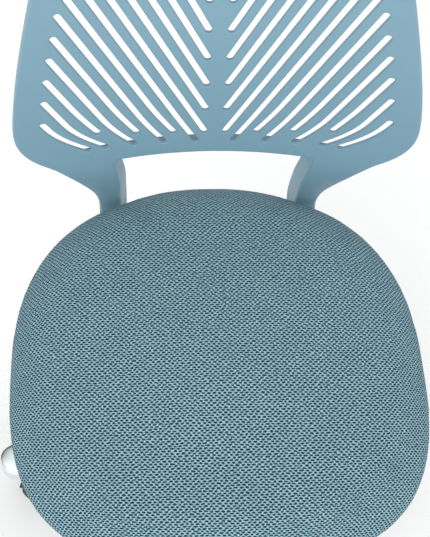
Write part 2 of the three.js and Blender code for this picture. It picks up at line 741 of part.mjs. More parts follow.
function buildColumn() {
  const inner = COLUMN.bore;
  const tube = turned([
    [ROD.radius + RUN, columnBottom],
    [COLUMN.outer - 1, columnBottom],
    [COLUMN.outer, columnBottom + 2],
    [COLUMN.outer, columnTop],
    [inner, columnTop],
    [inner, plateTop],
    [ROD.radius + RUN, plateTop],
  ]);
  addPiece("gas_column", tube, BLACK_STEEL);

  const bushInner = CYLINDER.radius + RUN;
  const bushTop = columnTop + FIT + BUSH.flange;
  const bush = turned([
    [bushInner, columnTop - BUSH.length],
    [inner - FIT, columnTop - BUSH.length],
    [inner - FIT, columnTop + FIT],
    [COLUMN.outer + BUSH.flangeOver, columnTop + FIT],
    [COLUMN.outer, bushTop],
    [bushInner, bushTop],
  ]);
  addPiece("column_bush", bush, BLACK_NYLON);

  const bore = ROD.radius + RUN;
  addPiece("bearing_washer_lower", ring(BEARING.outer, bore, plateTop + FIT, lowerWasherTop, 20), STEEL);
  addPiece("bearing_cage", ring(BEARING.outer, bore, lowerWasherTop + FIT, cageTop, 20), BLACK_NYLON);
  addPiece("bearing_washer_upper", ring(BEARING.outer, bore, cageTop + FIT, upperWasherTop, 20), STEEL);
  const bufferTop = bufferBottom + ROD.buffer;
  addPiece("rubber_buffer", ring(BEARING.outer - 2, bore, bufferBottom, bufferTop, 20), RUBBER);

  const clipTop = columnBottom - FIT;
  const clipBottom = clipTop - ROD.clip;
  addPiece("rod_clip", ring(2 * ROD.radius, ROD.radius - 0.8, clipBottom, clipTop, 16), STEEL);
  const neck = ROD.radius - 0.8 - FIT;
  const rodProfile = turned(
    [
      [0, clipBottom - 2],
      [ROD.radius, clipBottom - 2],
      [ROD.radius, clipBottom - FIT],
      [neck, clipBottom - FIT],
      [neck, clipTop + FIT],
      [ROD.radius, clipTop + FIT],
      [ROD.radius, pistonBottom],
      [ROD.pistonRadius, pistonBottom],
      [ROD.pistonRadius, pistonBottom + ROD.piston],
      [0, pistonBottom + ROD.piston],
    ],
    16,
  );
  addPiece("piston_rod", rodProfile, STEEL);

  const rodHole = ROD.radius + RUN;
  const pinHole = PIN.radius + RUN;
  const cylinder = turned([
    [rodHole, cylinderBottom],
    [CYLINDER.radius, cylinderBottom],
    [CYLINDER.radius, cylinderTop - 2],
    [CYLINDER.radius - 2, cylinderTop],
    [pinHole, cylinderTop],
    [pinHole, cylinderTop - CYLINDER.endWall],
    [CYLINDER.bore, cylinderTop - CYLINDER.endWall],
    [CYLINDER.bore, cylinderBottom + CYLINDER.endWall],
    [rodHole, cylinderBottom + CYLINDER.endWall],
  ]);
  addPiece("gas_cylinder", cylinder, CHROME);
  addPiece("release_pin", rod(PIN.radius, cylinderTop - CYLINDER.endWall, pinTop, 12), STEEL);
}

// ---------------------------------------------------------------- base

const legAngles = Array.from({ length: BASE.legs }, (_, i) => Math.PI / 2 + (2 * Math.PI * i) / BASE.legs);
const stemTop = tipTop - BASE.legWall - 4;
const stemCircle = BASE.tipCentre - BASE.stemInset;

// One leg along +X: rounded on top, tapering to a round tip over the castor stem.
function leg() {
  const { tipCentre, tipRadius } = BASE;
  const stations = [
    [BASE.hubRadius - 12, 25],
    [BASE.hubRadius + 30, 21],
    [tipCentre * 0.55, 18],
    [tipCentre * 0.8, 19],
    [tipCentre - 12, 23.5],
  ];
  for (const part of [0, 0.5, 0.82, 0.98]) {
    stations.push([tipCentre + tipRadius * part, tipRadius * Math.sqrt(1 - part * part)]);
  }
  const sections = stations.map(([r, half]) => {
    const part = THREE.MathUtils.clamp((r - BASE.hubRadius) / (tipCentre - BASE.hubRadius), 0, 1);
    const rounding = r > tipCentre ? (1 - half / tipRadius) * 6 : 0;
    const top = THREE.MathUtils.lerp(rootTop, tipTop, part ** 0.85) - rounding;
    const bottom = THREE.MathUtils.lerp(rootBottom, tipBottom, part);
    const edge = Math.min(7, (top - bottom) * 0.4);
    const outline = [
      [-half, bottom],
      [half, bottom],
      [half, top - edge],
      [half * 0.9, top - edge * 0.42],
      [half * 0.62, top - edge * 0.08],
      [0, top],
      [-half * 0.62, top - edge * 0.08],
      [-half * 0.9, top - edge * 0.42],
      [-half, top - edge],
    ];
    return outline.map(([y, z]) => new THREE.Vector3(r, y, z));
  });
  return new LoftGeometry(sections, { capStart: true, capEnd: true });
}

// The channel under a leg.
function legChannel() {
  const ends = [
    [BASE.hubRadius + 6, 21 - BASE.legWall, rootTop - 6],
    [stemCircle - 15, 20 - BASE.legWall, tipTop],
  ];
  const sections = ends.map(([r, half, top]) => {
    const roof = top - BASE.legWall - 2;
    const floor = tipBottom - 5;
    const outline = [
      [-half, floor],
      [half, floor],
      [half, roof - 4],
      [half - 5, roof],
      [5 - half, roof],
      [-half, roof - 4],
    ];
    return outline.map(([y, z]) => new THREE.Vector3(r, y, z));
  });
  return new LoftGeometry(sections, { capStart: true, capEnd: true });
}

function buildBase() {
  const hub = turned([
    [0, hubBottom],
    [BASE.hubRadius - 2, hubBottom],
    [BASE.hubRadius, hubBottom + 3],
    [BASE.hubRadius, hubTop - 4],
    [BASE.hubRadius - 3, hubTop],
    [0, hubTop],
  ], 30);
  let body = toSolid(hub);
  const stemHole = rod(CASTOR.stem + FIT, tipBottom - 3, stemTop + FIT, 12);
  stemHole.translate(stemCircle, 0, 0);
  const cuts = [];
  for (const angle of legAngles) {
    body = body.add(toSolid(leg().rotateZ(angle)));
    cuts.push(toSolid(legChannel().rotateZ(angle)), toSolid(stemHole.clone().rotateZ(angle)));
  }
  cuts.push(toSolid(rod(COLUMN.outer + FIT, hubBottom - 1, hubTop + 1, 30)));
  const base = cuts.reduce((solid, tool) => solid.subtract(tool), body);
  addPiece("star_base", fromSolid(base), CHROME);
}

// ---------------------------------------------------------------- castors

const wheelInner = CASTOR.web / 2 + RUN;
const hoodTop = tipBottom - CASTOR.topGap;

// A twin-wheel castor, drawn with its stem at the origin and trailing towards +Y, and then turned to
// trail towards the hub.
function buildCastor(index, angle) {
  const group = new THREE.Group();
  group.position.set(stemCircle * Math.cos(angle), stemCircle * Math.sin(angle), 0);
  group.rotation.z = angle + Math.PI / 2;
  chair.add(group);
  const { web, trail, wheelRadius, wheelWidth, hood } = CASTOR;

  const stemBottom = axleHeight + 4;
  addPiece(`castor_stem_${index}`, rod(CASTOR.stem, stemBottom + FIT, stemTop, 12), STEEL, group);

  // The fork's middle web, its stem boss, and the hood that arches over both wheels.
  const acrossX = (shape, width) => {
    const options = { depth: width, bevelEnabled: false, curveSegments: 5 };
    const geometry = new THREE.ExtrudeGeometry(shape, options);
    return geometry.rotateX(Math.PI / 2).rotateZ(Math.PI / 2).translate(-width / 2, 0, 0);
  };
  const webShape = new THREE.Shape();
  webShape.moveTo(-8, stemBottom - 4);
  webShape.lineTo(trail, axleHeight - 9);
  webShape.lineTo(trail + 9, axleHeight);
  webShape.lineTo(trail + 9, axleHeight + 20);
  webShape.lineTo(-8, axleHeight + 20);
  webShape.holes.push(roundHole(trail, axleHeight, CASTOR.axle + FIT));
  const inner = wheelRadius + 2;
  const outer = Math.min(inner + hood, hoodTop - axleHeight);
  const [hoodBack, hoodFront] = [radians(15), radians(150)];
  const arch = new THREE.Shape();
  arch.absarc(trail, axleHeight, outer, hoodBack, hoodFront, false);
  arch.absarc(trail, axleHeight, inner, hoodFront, hoodBack, true);
  const boss = rod(CASTOR.stem + 4, stemBottom - 4, hoodTop, 12);
  const bore = rod(CASTOR.stem + FIT, stemBottom, hoodTop + 1, 12);
  const width = web + 2 * (wheelWidth + RUN) + 1;
  const body = join(acrossX(webShape, web), acrossX(arch, width), boss);
  addPiece(`castor_body_${index}`, cut(body, bore), BLACK_NYLON, group);

  const axleHalf = wheelInner + wheelWidth - 3;
  const axle = new THREE.CylinderGeometry(CASTOR.axle, CASTOR.axle, 2 * axleHalf, 12);
  axle.rotateZ(Math.PI / 2).translate(0, trail, axleHeight);
  addPiece(`castor_axle_${index}`, axle, STEEL, group);

  const bossClear = CASTOR.stem + 4 + RUN;
  const innerRadius = trail - bossClear;
  const stepIn = Math.max(0, bossClear - wheelInner);
  const hubRadius = Math.max(innerRadius, CASTOR.axle + 3);
  const profile = [
    [CASTOR.axle + RUN, 0],
    [hubRadius, 0],
    [hubRadius + 0.5, stepIn],
    [wheelRadius, stepIn],
    [wheelRadius, wheelWidth - 2],
    [CASTOR.axle + RUN, wheelWidth],
  ];
  const half = turned(profile, CASTOR.wheelSides, Math.PI / CASTOR.wheelSides);
  for (const [letter, side] of [["a", -1], ["b", 1]]) {
    const wheel = half.clone().rotateY((side * Math.PI) / 2);
    wheel.translate(side * wheelInner, trail, axleHeight);
    addPiece(`castor_wheel_${index}_${letter}`, wheel, RUBBER, group);
  }
}

// ---------------------------------------------------------------- assembly

buildBase();
buildColumn();
buildMechanism();
buildLever();
buildSeat();
buildBack();
buildBolts();
legAngles.forEach((angle, i) => buildCastor(i + 1, angle));

const footprint = new THREE.Box3().setFromObject(chair);
chair.position.y = -(footprint.min.y + footprint.max.y) / 2;

export default chair;
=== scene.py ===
"""The looks of a swivel office chair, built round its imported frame.

Metres, +Z up, the sitter faces -Y. Every piece is made where it stands and rides a body of the frame,
so the swivel, the lift, the lever and the castors carry their pieces with them.
"""

import logging
import math
from contextlib import contextmanager
from dataclasses import dataclass, field
from enum import Enum
from typing import Callable, ClassVar, Iterator, Sequence

import bmesh
import bpy
from mathutils import Matrix, Vector


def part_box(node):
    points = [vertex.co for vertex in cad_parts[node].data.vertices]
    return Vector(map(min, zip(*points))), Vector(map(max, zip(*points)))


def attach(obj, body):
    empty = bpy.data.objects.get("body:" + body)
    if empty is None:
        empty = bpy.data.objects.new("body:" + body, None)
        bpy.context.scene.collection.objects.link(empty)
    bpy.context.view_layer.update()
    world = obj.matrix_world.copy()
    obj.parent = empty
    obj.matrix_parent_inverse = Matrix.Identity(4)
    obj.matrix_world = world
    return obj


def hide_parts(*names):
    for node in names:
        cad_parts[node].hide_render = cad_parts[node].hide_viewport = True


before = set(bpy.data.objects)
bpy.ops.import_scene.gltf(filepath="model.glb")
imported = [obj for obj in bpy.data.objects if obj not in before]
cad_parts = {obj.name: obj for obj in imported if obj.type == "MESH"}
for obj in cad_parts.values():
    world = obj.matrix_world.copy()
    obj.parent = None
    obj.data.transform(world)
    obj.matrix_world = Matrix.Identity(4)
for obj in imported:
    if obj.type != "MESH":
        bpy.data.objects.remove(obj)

logging.basicConfig(level=logging.INFO, format="%(name)s: %(message)s")
log = logging.getLogger("swivel_chair")

MM = 1000  # millimetres in a metre
FIT = 0.0003  # gap between pieces that touch
PAST = 0.01  # how far a cutting tool reaches past the piece that it cuts
SAME = 1e-6  # corners closer than this are one corner
BOLT_KINDS = ("mechanism_bolt", "back_bolt")
BOLTS_OF_A_KIND = range(1, 5)

Ring = list[Vector]
Profile = list[tuple[float, float]]  # radius and height of each ring of a turned piece


# ---------------------------------------------------------------- work on meshes


class Ends(Enum):
    """What becomes of the first and the last ring of a loft."""

    CAPPED = "NGON"
    OPEN = "NOTHING"
    LOOPED = "JOINED"


class Cut(Enum):
    """How a second solid changes the first."""

    JOIN = "UNION"
    TAKE_AWAY = "DIFFERENCE"


def make_active(piece: bpy.types.Object) -> None:
    """Selects one object alone and makes it the one that operators act on."""
    bpy.ops.object.select_all(action="DESELECT")
    piece.select_set(True)
    bpy.context.view_layer.objects.active = piece


@contextmanager
def editing(piece: bpy.types.Object, mode: str = "VERT") -> Iterator[bmesh.types.BMesh]:
    """Opens a piece in edit mode with nothing selected, and closes it afterwards.

    Args:
        piece: the mesh object to edit.
        mode: what is selected, VERT, EDGE or FACE.
    """
    make_active(piece)
    bpy.ops.object.mode_set(mode="EDIT")
    bpy.ops.mesh.select_mode(type=mode)
    bpy.ops.mesh.select_all(action="DESELECT")
    yield bmesh.from_edit_mesh(piece.data)
    bpy.ops.object.mode_set(mode="OBJECT")


def face_outwards(piece: bpy.types.Object, gap: float = SAME) -> None:
    """Merges a piece's doubles and turns its faces outwards.

    Args:
        piece: the closed mesh.
        gap: corners closer than this are one corner.
    """
    with editing(piece):
        bpy.ops.mesh.select_all(action="SELECT")
        bpy.ops.mesh.remove_doubles(threshold=gap)
        bpy.ops.mesh.normals_make_consistent(inside=False)


def apply_modifier(piece: bpy.types.Object, kind: str, **settings: object) -> None:
    """Adds a modifier with its settings and applies it.

    Args:
        piece: the mesh object.
        kind: the modifier's type.
        **settings: the modifier's own values.
    """
    make_active(piece)
    modifier = piece.modifiers.new(kind.lower(), kind)
    for name, value in settings.items():
        setattr(modifier, name, value)
    bpy.ops.object.modifier_apply(modifier=modifier.name)


def smooth(piece: bpy.types.Object, angle: float = 35) -> None:
    """Shades a piece smooth up to an angle in degrees, with its flat faces kept flat.

    Args:
        piece: the mesh object.
        angle: edges that turn by more stay sharp.
    """
    large_faces_first = 80
    make_active(piece)
    bpy.ops.object.shade_smooth_by_angle(angle=math.radians(angle))
    apply_modifier(piece, "WEIGHTED_NORMAL", keep_sharp=True, weight=large_faces_first)


def soften(piece: bpy.types.Object, width: float, segments: int = 2, angle: float = 30) -> None:
    """Rounds a piece's sharp edges.

    Args:
        piece: the mesh object.
        width: how far the rounding reaches from each edge.
        segments: steps of the rounding.
        angle: edges that turn by more than this, in degrees, are rounded.
    """
    turn_of_one_step = 8
    apply_modifier(piece, "BEVEL", width=width, segments=segments, limit_method="ANGLE",
                   angle_limit=math.radians(angle))
    smooth(piece, angle + turn_of_one_step)


def combine(piece: bpy.types.Object, tool: bpy.types.Object, how: Cut) -> bpy.types.Object:
    """Joins a solid to a piece or takes it away, and drops the solid.

    Args:
        piece: the mesh object that stays.
        tool: the solid.
        how: whether it is joined or taken away.

    Returns:
        The changed piece.
    """
    apply_modifier(piece, "BOOLEAN", operation=how.value, solver="EXACT", object=tool)
    bpy.data.objects.remove(tool)
    return piece


def copy_of(piece: bpy.types.Object, name: str, place: Matrix) -> bpy.types.Object:
    """Copies a piece with a mesh of its own.

    Args:
        piece: what is copied.
        name: the copy's name.
        place: moves the copy's mesh.

    Returns:
        The copy, with its object at the origin.
    """
    copy = piece.copy()
    copy.data = piece.data.copy()
    copy.name = name
    copy.data.transform(place)
    bpy.context.collection.objects.link(copy)
    return copy


def loft(name: str, rings: Sequence[Ring], ends: Ends = Ends.CAPPED) -> bpy.types.Object:
    """Extrudes a ring of corners through a row of places.

    Args:
        name: the piece's name.
        rings: the rings, all with the same number of corners.
        ends: whether both ends are capped, left open, or joined to each other.

    Returns:
        The piece, at the origin.
    """
    count = len(rings[0])
    fill = "NGON" if ends is Ends.CAPPED else "NOTHING"
    bpy.ops.object.select_all(action="DESELECT")
    bpy.ops.mesh.primitive_circle_add(vertices=count, fill_type=fill)
    piece = bpy.context.object
    piece.name = name
    row = [*rings, rings[0]] if ends is Ends.LOOPED else rings
    with editing(piece) as mesh:
        bpy.ops.mesh.select_all(action="SELECT")
        for number, ring in enumerate(row):
            if number:
                bpy.ops.mesh.extrude_region_move()
                mesh = bmesh.from_edit_mesh(piece.data)
            mesh.verts.ensure_lookup_table()
            for corner, point in zip(mesh.verts[-count:], ring):
                corner.co = point
            bmesh.update_edit_mesh(piece.data)
    face_outwards(piece)
    return piece


def circle(radius: float, height: float, sides: int) -> Ring:
    """One level ring of corners round the Z axis.

    Args:
        radius: radius of the ring.
        height: where it lies.
        sides: how many corners.

    Returns:
        The corners, anticlockwise.
    """
    turns = [2 * math.pi * i / sides for i in range(sides)]
    return [Vector((radius * math.cos(turn), radius * math.sin(turn), height)) for turn in turns]


def turned(name: str, profile: Profile, at: Sequence[float] = (0, 0, 0), sides: int = 64,
           ends: Ends = Ends.CAPPED) -> bpy.types.Object:
    """Turns a profile of radii and heights about an upright line.

    Args:
        name: the piece's name.
        profile: radius and height of each ring.
        at: where the line stands.
        sides: corners of a ring.
        ends: capped, or looped where the profile closes on itself round a bore.

    Returns:
        The turned piece.
    """
    piece = loft(name, [circle(radius, height, sides) for radius, height in profile], ends)
    piece.data.transform(Matrix.Translation(at))
    return piece


def bezier(points: Sequence[Vector], steps: int) -> Ring:
    """Points along a Bezier curve of any degree, without its first.

    Args:
        points: the curve's controls.
        steps: how many points come back.

    Returns:
        The points, the last of them the curve's end.
    """
    curve = []
    for step in range(1, steps + 1):
        part = step / steps
        row = list(points)
        while len(row) > 1:
            row = [a.lerp(b, part) for a, b in zip(row, row[1:])]
        curve.append(row[0])
    return curve


@dataclass(frozen=True)
class Bow:
    """A curve between two points, with a handle at each.

    Attributes:
        leaving: from the first point to its handle.
        arriving: from the last point to its handle.
    """

    leaving: tuple[float, float]
    arriving: tuple[float, float]

    def between(self, start: Vector, end: Vector, steps: int) -> Ring:
        """Points along the curve, without its first."""
        return bezier([start, start + Vector(self.leaving), end + Vector(self.arriving), end], steps)


def drawn_in(outline: Ring, distance: float) -> Ring:
    """Moves every corner of a closed outline inwards.

    Args:
        outline: the corners, anticlockwise.
        distance: how far its sides move.

    Returns:
        The smaller outline, or a larger one if the distance is less than 0.
    """
    moved = []
    for i, point in enumerate(outline):
        ahead = (outline[(i + 1) % len(outline)] - point).normalized()
        behind = (point - outline[i - 1]).normalized()
        inward = Vector((-ahead.y - behind.y, ahead.x + behind.x)).normalized()
        reach = inward.dot(Vector((-ahead.y, ahead.x)))
        moved.append(point + inward * (distance / reach))
    return moved


def wall_rings(edge: Callable[[float], Ring], levels: tuple[float, float],
               roundings: tuple[float, float]) -> list[Ring]:
    """Rings down the wall of a flat moulding, with its two edges rounded.

    Args:
        edge: gives the wall's outline, moved into the material by a distance.
        levels: heights of the wall's two edges.
        roundings: radius of each edge.

    Returns:
        The rings, from the first level to the last.
    """
    steps = 3
    rings = []
    towards = math.copysign(1.0, levels[1] - levels[0])
    for level, radius, way in ((levels[0], roundings[0], 1), (levels[1], roundings[1], -1)):
        turns = range(steps + 1) if radius else (steps,)
        for step in turns if way > 0 else reversed(turns):
            turn = math.pi / 2 * step / steps
            height = level + way * towards * radius * (1 - math.cos(turn))
            ring = edge(radius * (1 - math.sin(turn)))
            rings.append([Vector((p.x, p.y, height)) for p in ring])
    return rings


def box_of(node: str) -> tuple[Vector, Vector]:
    """The two corners of a CAD node's box."""
    low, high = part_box(node)
    return Vector(low), Vector(high)


def middle_of(node: str) -> Vector:
    """Middle of a CAD node's box."""
    low, high = box_of(node)
    return (low + high) / 2


def share(value: float, start: float, end: float) -> float:
    """How far a value is from a start, at 0, to an end, at 1, and no further."""
    return min(1.0, max(0.0, (value - start) / (end - start)))


def refined(name: str, node: str, width: float) -> bpy.types.Object:
    """A copy of a CAD node as one clean mesh with rounded edges, which stands for the node.

    Args:
        name: the new piece's name.
        node: the CAD node.
        width: how wide the rounding is.

    Returns:
        The new piece.
    """
    flat = math.radians(1)
    piece = copy_of(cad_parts[node], name, Matrix.Identity(4))
    piece.parent = None
    piece.data.materials.clear()
    with editing(piece):
        bpy.ops.mesh.select_all(action="SELECT")
        bpy.ops.mesh.remove_doubles(threshold=SAME)
        bpy.ops.mesh.dissolve_limited(angle_limit=flat)
    soften(piece, width)
    return piece


# ---------------------------------------------------------------- finishes


def linear(hexcode: str) -> tuple[float, float, float, float]:
    """An sRGB hex colour as linear red, green, blue and alpha."""
    parts = [int(hexcode[i:i + 2], 16) / 255 for i in (1, 3, 5)]
    red, green, blue = (p / 12.92 if p <= 0.04045 else ((p + 0.055) / 1.055) ** 2.4 for p in parts)
    return red, green, blue, 1.0


def add_node(tree: bpy.types.NodeTree, kind: str, settings: dict[str, object] | None = None,
             inputs: dict[str | int, object] | None = None) -> bpy.types.Node:
    """Adds one node with its settings, values and links.

    Args:
        tree: the material's or the world's nodes.
        kind: the node's type.
        settings: the node's own properties.
        inputs: for each input, a value or the output that feeds it.

    Returns:
        The new node.
    """
    node = tree.nodes.new(kind)
    for name, value in (settings or {}).items():
        setattr(node, name, value)
    for name, value in (inputs or {}).items():
        if isinstance(value, bpy.types.NodeSocket):
            tree.links.new(value, node.inputs[name])
        else:
            node.inputs[name].default_value = value
    return node


def cleared(owner: bpy.types.Material | bpy.types.World) -> bpy.types.NodeTree:
    """The empty node tree of a new material or world."""
    owner.use_nodes = True
    owner.node_tree.nodes.clear()
    return owner.node_tree


def noise(tree: bpy.types.NodeTree, place: bpy.types.NodeSocket, scale: float,
          detail: float = 3.0) -> bpy.types.NodeOutputs:
    """The outputs of a noise over a place.

    Args:
        tree: the material's nodes.
        place: output that gives the place.
        scale: how many patches to a unit.
        detail: how many finer layers.

    Returns:
        The outputs of the new node.
    """
    return add_node(tree, "ShaderNodeTexNoise", inputs={
        "Vector": place, "Scale": scale, "Detail": detail}).outputs


def mixed(tree: bpy.types.NodeTree, part: bpy.types.NodeSocket, first: object,
          last: object) -> bpy.types.NodeSocket:
    """A colour between a first and a last, which are colours or outputs.

    Args:
        tree: the material's nodes.
        part: 0 for the first colour and 1 for the last.
        first: the first colour.
        last: the last colour.

    Returns:
        The output with the colour.
    """
    return add_node(tree, "ShaderNodeMix", {"data_type": "RGBA"}, {
        0: part, 6: first, 7: last}).outputs[2]


def shown(tree: bpy.types.NodeTree, shader: bpy.types.Node) -> None:
    """Leads a shader to its tree's output."""
    kind = "World" if shader.type == "BACKGROUND" else "Material"
    add_node(tree, f"ShaderNodeOutput{kind}", inputs={"Surface": shader.outputs[0]})


@dataclass(frozen=True)
class Finish:
    """What every surface here has: a base colour, a gloss, and a grain that both vary with.

    Attributes:
        name: the material's name.
        colour: sRGB hex of the surface.
        tint: sRGB hex that the colour drifts towards in patches.
        roughness: least and most roughness.
        grain: size of the grain in millimetres.
        relief: depth of the grain in millimetres.
        patch: size of the colour's drift in millimetres.
        metallic: 1 for a bare metal.
        drift_range: values of the noise over which the gloss runs from one end to the other.
    """

    name: str
    colour: str
    tint: str
    roughness: tuple[float, float]
    grain: float
    relief: float
    patch: float
    metallic: float = 0.0
    drift_range: ClassVar[tuple[float, float]] = (0.3, 0.7)

    def material(self) -> bpy.types.Material:
        """Builds the material: a drift of colour, a roughness that varies, and a fine relief."""
        made = bpy.data.materials.new(self.name)
        tree = cleared(made)
        place = add_node(tree, "ShaderNodeTexCoord").outputs["Object"]
        drift = noise(tree, place, MM / self.patch)["Fac"]
        gloss = add_node(tree, "ShaderNodeMapRange", inputs={
            "Value": drift, "From Min": self.drift_range[0], "From Max": self.drift_range[1],
            "To Min": self.roughness[0], "To Max": self.roughness[1]})
        shader = add_node(tree, "ShaderNodeBsdfPrincipled", inputs={
            "Base Color": mixed(tree, drift, linear(self.colour), linear(self.tint)),
            "Roughness": gloss.outputs["Result"], "Metallic": self.metallic})
        if self.relief:
            bump = add_node(tree, "ShaderNodeBump", inputs={
                "Height": noise(tree, place, MM / self.grain, 2.0)["Fac"],
                "Distance": self.relief / MM, "Strength": 1.0})
            tree.links.new(bump.outputs["Normal"], shader.inputs["Normal"])
        shown(tree, shader)
        return made


@dataclass(frozen=True)
class Weave:
    """A coarse upholstery cloth: light threads with staggered pits between them, the pits' shade painted into
    the colour.

    Attributes:
        name: the material's name.
        thread: sRGB hex of the raised threads.
        pit_shade: sRGB hex of the shade painted into the gaps between the threads.
        cast: sRGB hex that the threads drift towards in patches.
        pitch: distance between pits along a row, in millimetres.
        row: distance between rows, in millimetres.
        relief: depth of a pit in millimetres.
        wander: how far the yarn strays, in millimetres.
        wander_size: size of its straying, in millimetres.
        flatness: how much lower than wide a pit is.
        drift_size: size of the colour's patches, in millimetres.
        along_share: share of the straying that runs across the rows.
        fibre_share: size of a fibre, as a share of a row.
        fibre_weight: how much the fibres break up the pits.
        pit_range: depths over which a thread turns into a pit.
    """

    name: str
    thread: str
    pit_shade: str
    cast: str
    pitch: float
    row: float
    relief: float
    wander: float
    wander_size: float
    flatness: float
    drift_size: float
    along_share: ClassVar[float] = 0.6
    fibre_share: ClassVar[float] = 0.7
    fibre_weight: ClassVar[float] = 2.4
    pit_range: ClassVar[tuple[float, float]] = (-1.4, 0.2)

    def material(self) -> bpy.types.Material:
        """Builds the cloth on the piece's own weave map, which is in millimetres."""
        made = bpy.data.materials.new(self.name)
        tree = cleared(made)

        def maths(operation: str, first: object, second: object = 0.0) -> bpy.types.NodeSocket:
            """The result of one sum on two values or outputs."""
            node = add_node(tree, "ShaderNodeMath", {"operation": operation}, {0: first, 1: second})
            return node.outputs[0]

        cloth = add_node(tree, "ShaderNodeUVMap", {"uv_map": WEAVE_MAP}).outputs["UV"]
        centred = add_node(tree, "ShaderNodeVectorMath", {"operation": "SUBTRACT"}, {
            0: noise(tree, cloth, 1 / self.wander_size, 1.0)["Color"], 1: (0.5, 0.5, 0.5)})
        strayed = add_node(tree, "ShaderNodeVectorMath", {"operation": "MULTIPLY_ADD"}, {
            0: centred.outputs[0], 1: (self.wander, self.wander * self.along_share, 0.0), 2: cloth})
        split = add_node(tree, "ShaderNodeSeparateXYZ", inputs={0: strayed.outputs[0]})
        across = maths("MULTIPLY", split.outputs["X"], 2 * math.pi / self.pitch)
        along = maths("MULTIPLY", split.outputs["Y"], math.pi / self.row)
        stagger = maths("MULTIPLY", maths("COSINE", across), maths("COSINE", along))
        squeeze = maths("POWER", maths("SINE", along), 2.0)
        pits = maths("SUBTRACT", stagger, maths("MULTIPLY", squeeze, self.flatness))
        fibre = noise(tree, cloth, 1 / (self.fibre_share * self.row), 2.0)["Fac"]
        depth = maths("ADD", pits, maths("MULTIPLY", maths("SUBTRACT", fibre, 0.5), self.fibre_weight))
        shade = add_node(tree, "ShaderNodeMapRange", {"interpolation_type": "SMOOTHSTEP"}, {
            "Value": depth, "From Min": self.pit_range[0], "From Max": self.pit_range[1]})
        drift = noise(tree, cloth, 1 / self.drift_size)["Fac"]
        threads = mixed(tree, drift, linear(self.thread), linear(self.cast))
        bump = add_node(tree, "ShaderNodeBump", {"invert": True}, {
            "Height": shade.outputs["Result"], "Distance": self.relief / MM, "Strength": 1.0})
        # Painted shade: the colour darkens from the threads towards the pit shade by the same depth that the
        # bump sinks.
        shown(tree, add_node(tree, "ShaderNodeBsdfPrincipled", inputs={
            "Base Color": mixed(tree, shade.outputs["Result"], threads, linear(self.pit_shade)),
            "Roughness": 0.95, "Sheen Weight": 0.04, "Sheen Roughness": 0.5,
            "Specular IOR Level": 0.25, "Normal": bump.outputs["Normal"]}))
        return made


WEAVE_MAP = "weave"  # UV map of the cloth, in millimetres along the threads

# Moulded polypropylene: an even satin blue-grey with a fine spark texture that breaks up its gloss.
BACK_PLASTIC = Finish("moulded polypropylene", "#7598A8", "#7194A4", (0.42, 0.5), 1.1, 0.02, 90)
# Coarse flat-woven polyester: pale threads round rows of staggered pits, whose shade is painted in as a dark
# teal.
SEAT_CLOTH = Weave("woven polyester upholstery", "#9FC7CA", "#032C38", "#8DB0C8", pitch=5.5, row=2.73,
                   relief=1.1, wander=3.6, wander_size=8.0, flatness=1.0, drift_size=45)
# Chromium plate on pressed steel: a near-mirror with faint haze.
CHROME = Finish("chromium plate", "#E4EBEB", "#DCE4E5", (0.05, 0.1), 1.0, 0.0, 60, metallic=1.0)
# Zinc-plated steel: a dull bright grey with cloudy spots.
ZINC = Finish("zinc-plated steel", "#A7ADB0", "#969A96", (0.28, 0.42), 1.5, 0.01, 7, metallic=1.0)
# Powder coat: near black, with the soft orange peel of baked powder.
POWDER = Finish("black powder coat", "#1E2022", "#232527", (0.42, 0.52), 1.6, 0.05, 40)
# Glass-filled nylon: matt black with a moulded grain.
NYLON = Finish("glass-filled nylon", "#18191B", "#1E1F21", (0.5, 0.6), 1.0, 0.05, 25)
# Castor tread: black plastic, dulled where it rolls.
TREAD = Finish("castor polyamide", "#151617", "#242424", (0.4, 0.62), 2.0, 0.03, 12)
# Moulded rubber: flat black.
RUBBER = Finish("moulded rubber", "#101112", "#151515", (0.8, 0.9), 1.0, 0.05, 15)
# Needled felt under the seat: charcoal, with a fibrous nap.
FELT = Finish("needled felt", "#232527", "#34373A", (0.92, 1.0), 1.8, 0.5, 4)
# Birch plywood: warm and pale, with soft figure.
PLYWOOD = Finish("birch plywood", "#C9A778", "#B58F5E", (0.55, 0.7), 3.0, 0.08, 18)


class Paint:
    """Builds each material once and hands it out."""

    def __init__(self) -> None:
        """Starts with no material built."""
        self.made: dict[str, bpy.types.Material] = {}

    def on(self, piece: bpy.types.Object, finish: Finish | Weave) -> None:
        """Gives a piece one finish all over.

        Args:
            piece: the mesh object, new or of the CAD.
            finish: what it is made of.
        """
        if finish.name not in self.made:
            self.made[finish.name] = finish.material()
        if not piece.data.materials:
            piece.data.materials.append(None)
        for slot in piece.material_slots:
            slot.material = self.made[finish.name]


paint = Paint()


def fit_out(piece: bpy.types.Object, finish: Finish | Weave, body: str, slot: str, *nodes: str) -> None:
    """Dresses a new piece, rides it on its body and lets it stand for its CAD nodes.

    Args:
        piece: the finished mesh.
        finish: its material.
        body: the body that carries it.
        slot: a material slot's name; not used.
        *nodes: the CAD nodes that it replaces.
    """
    paint.on(piece, finish)
    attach(piece, body)
    if nodes:
        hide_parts(*nodes)
    log.info("%s: %d corners on %s", piece.name, len(piece.data.vertices), body)


# ---------------------------------------------------------------- seat


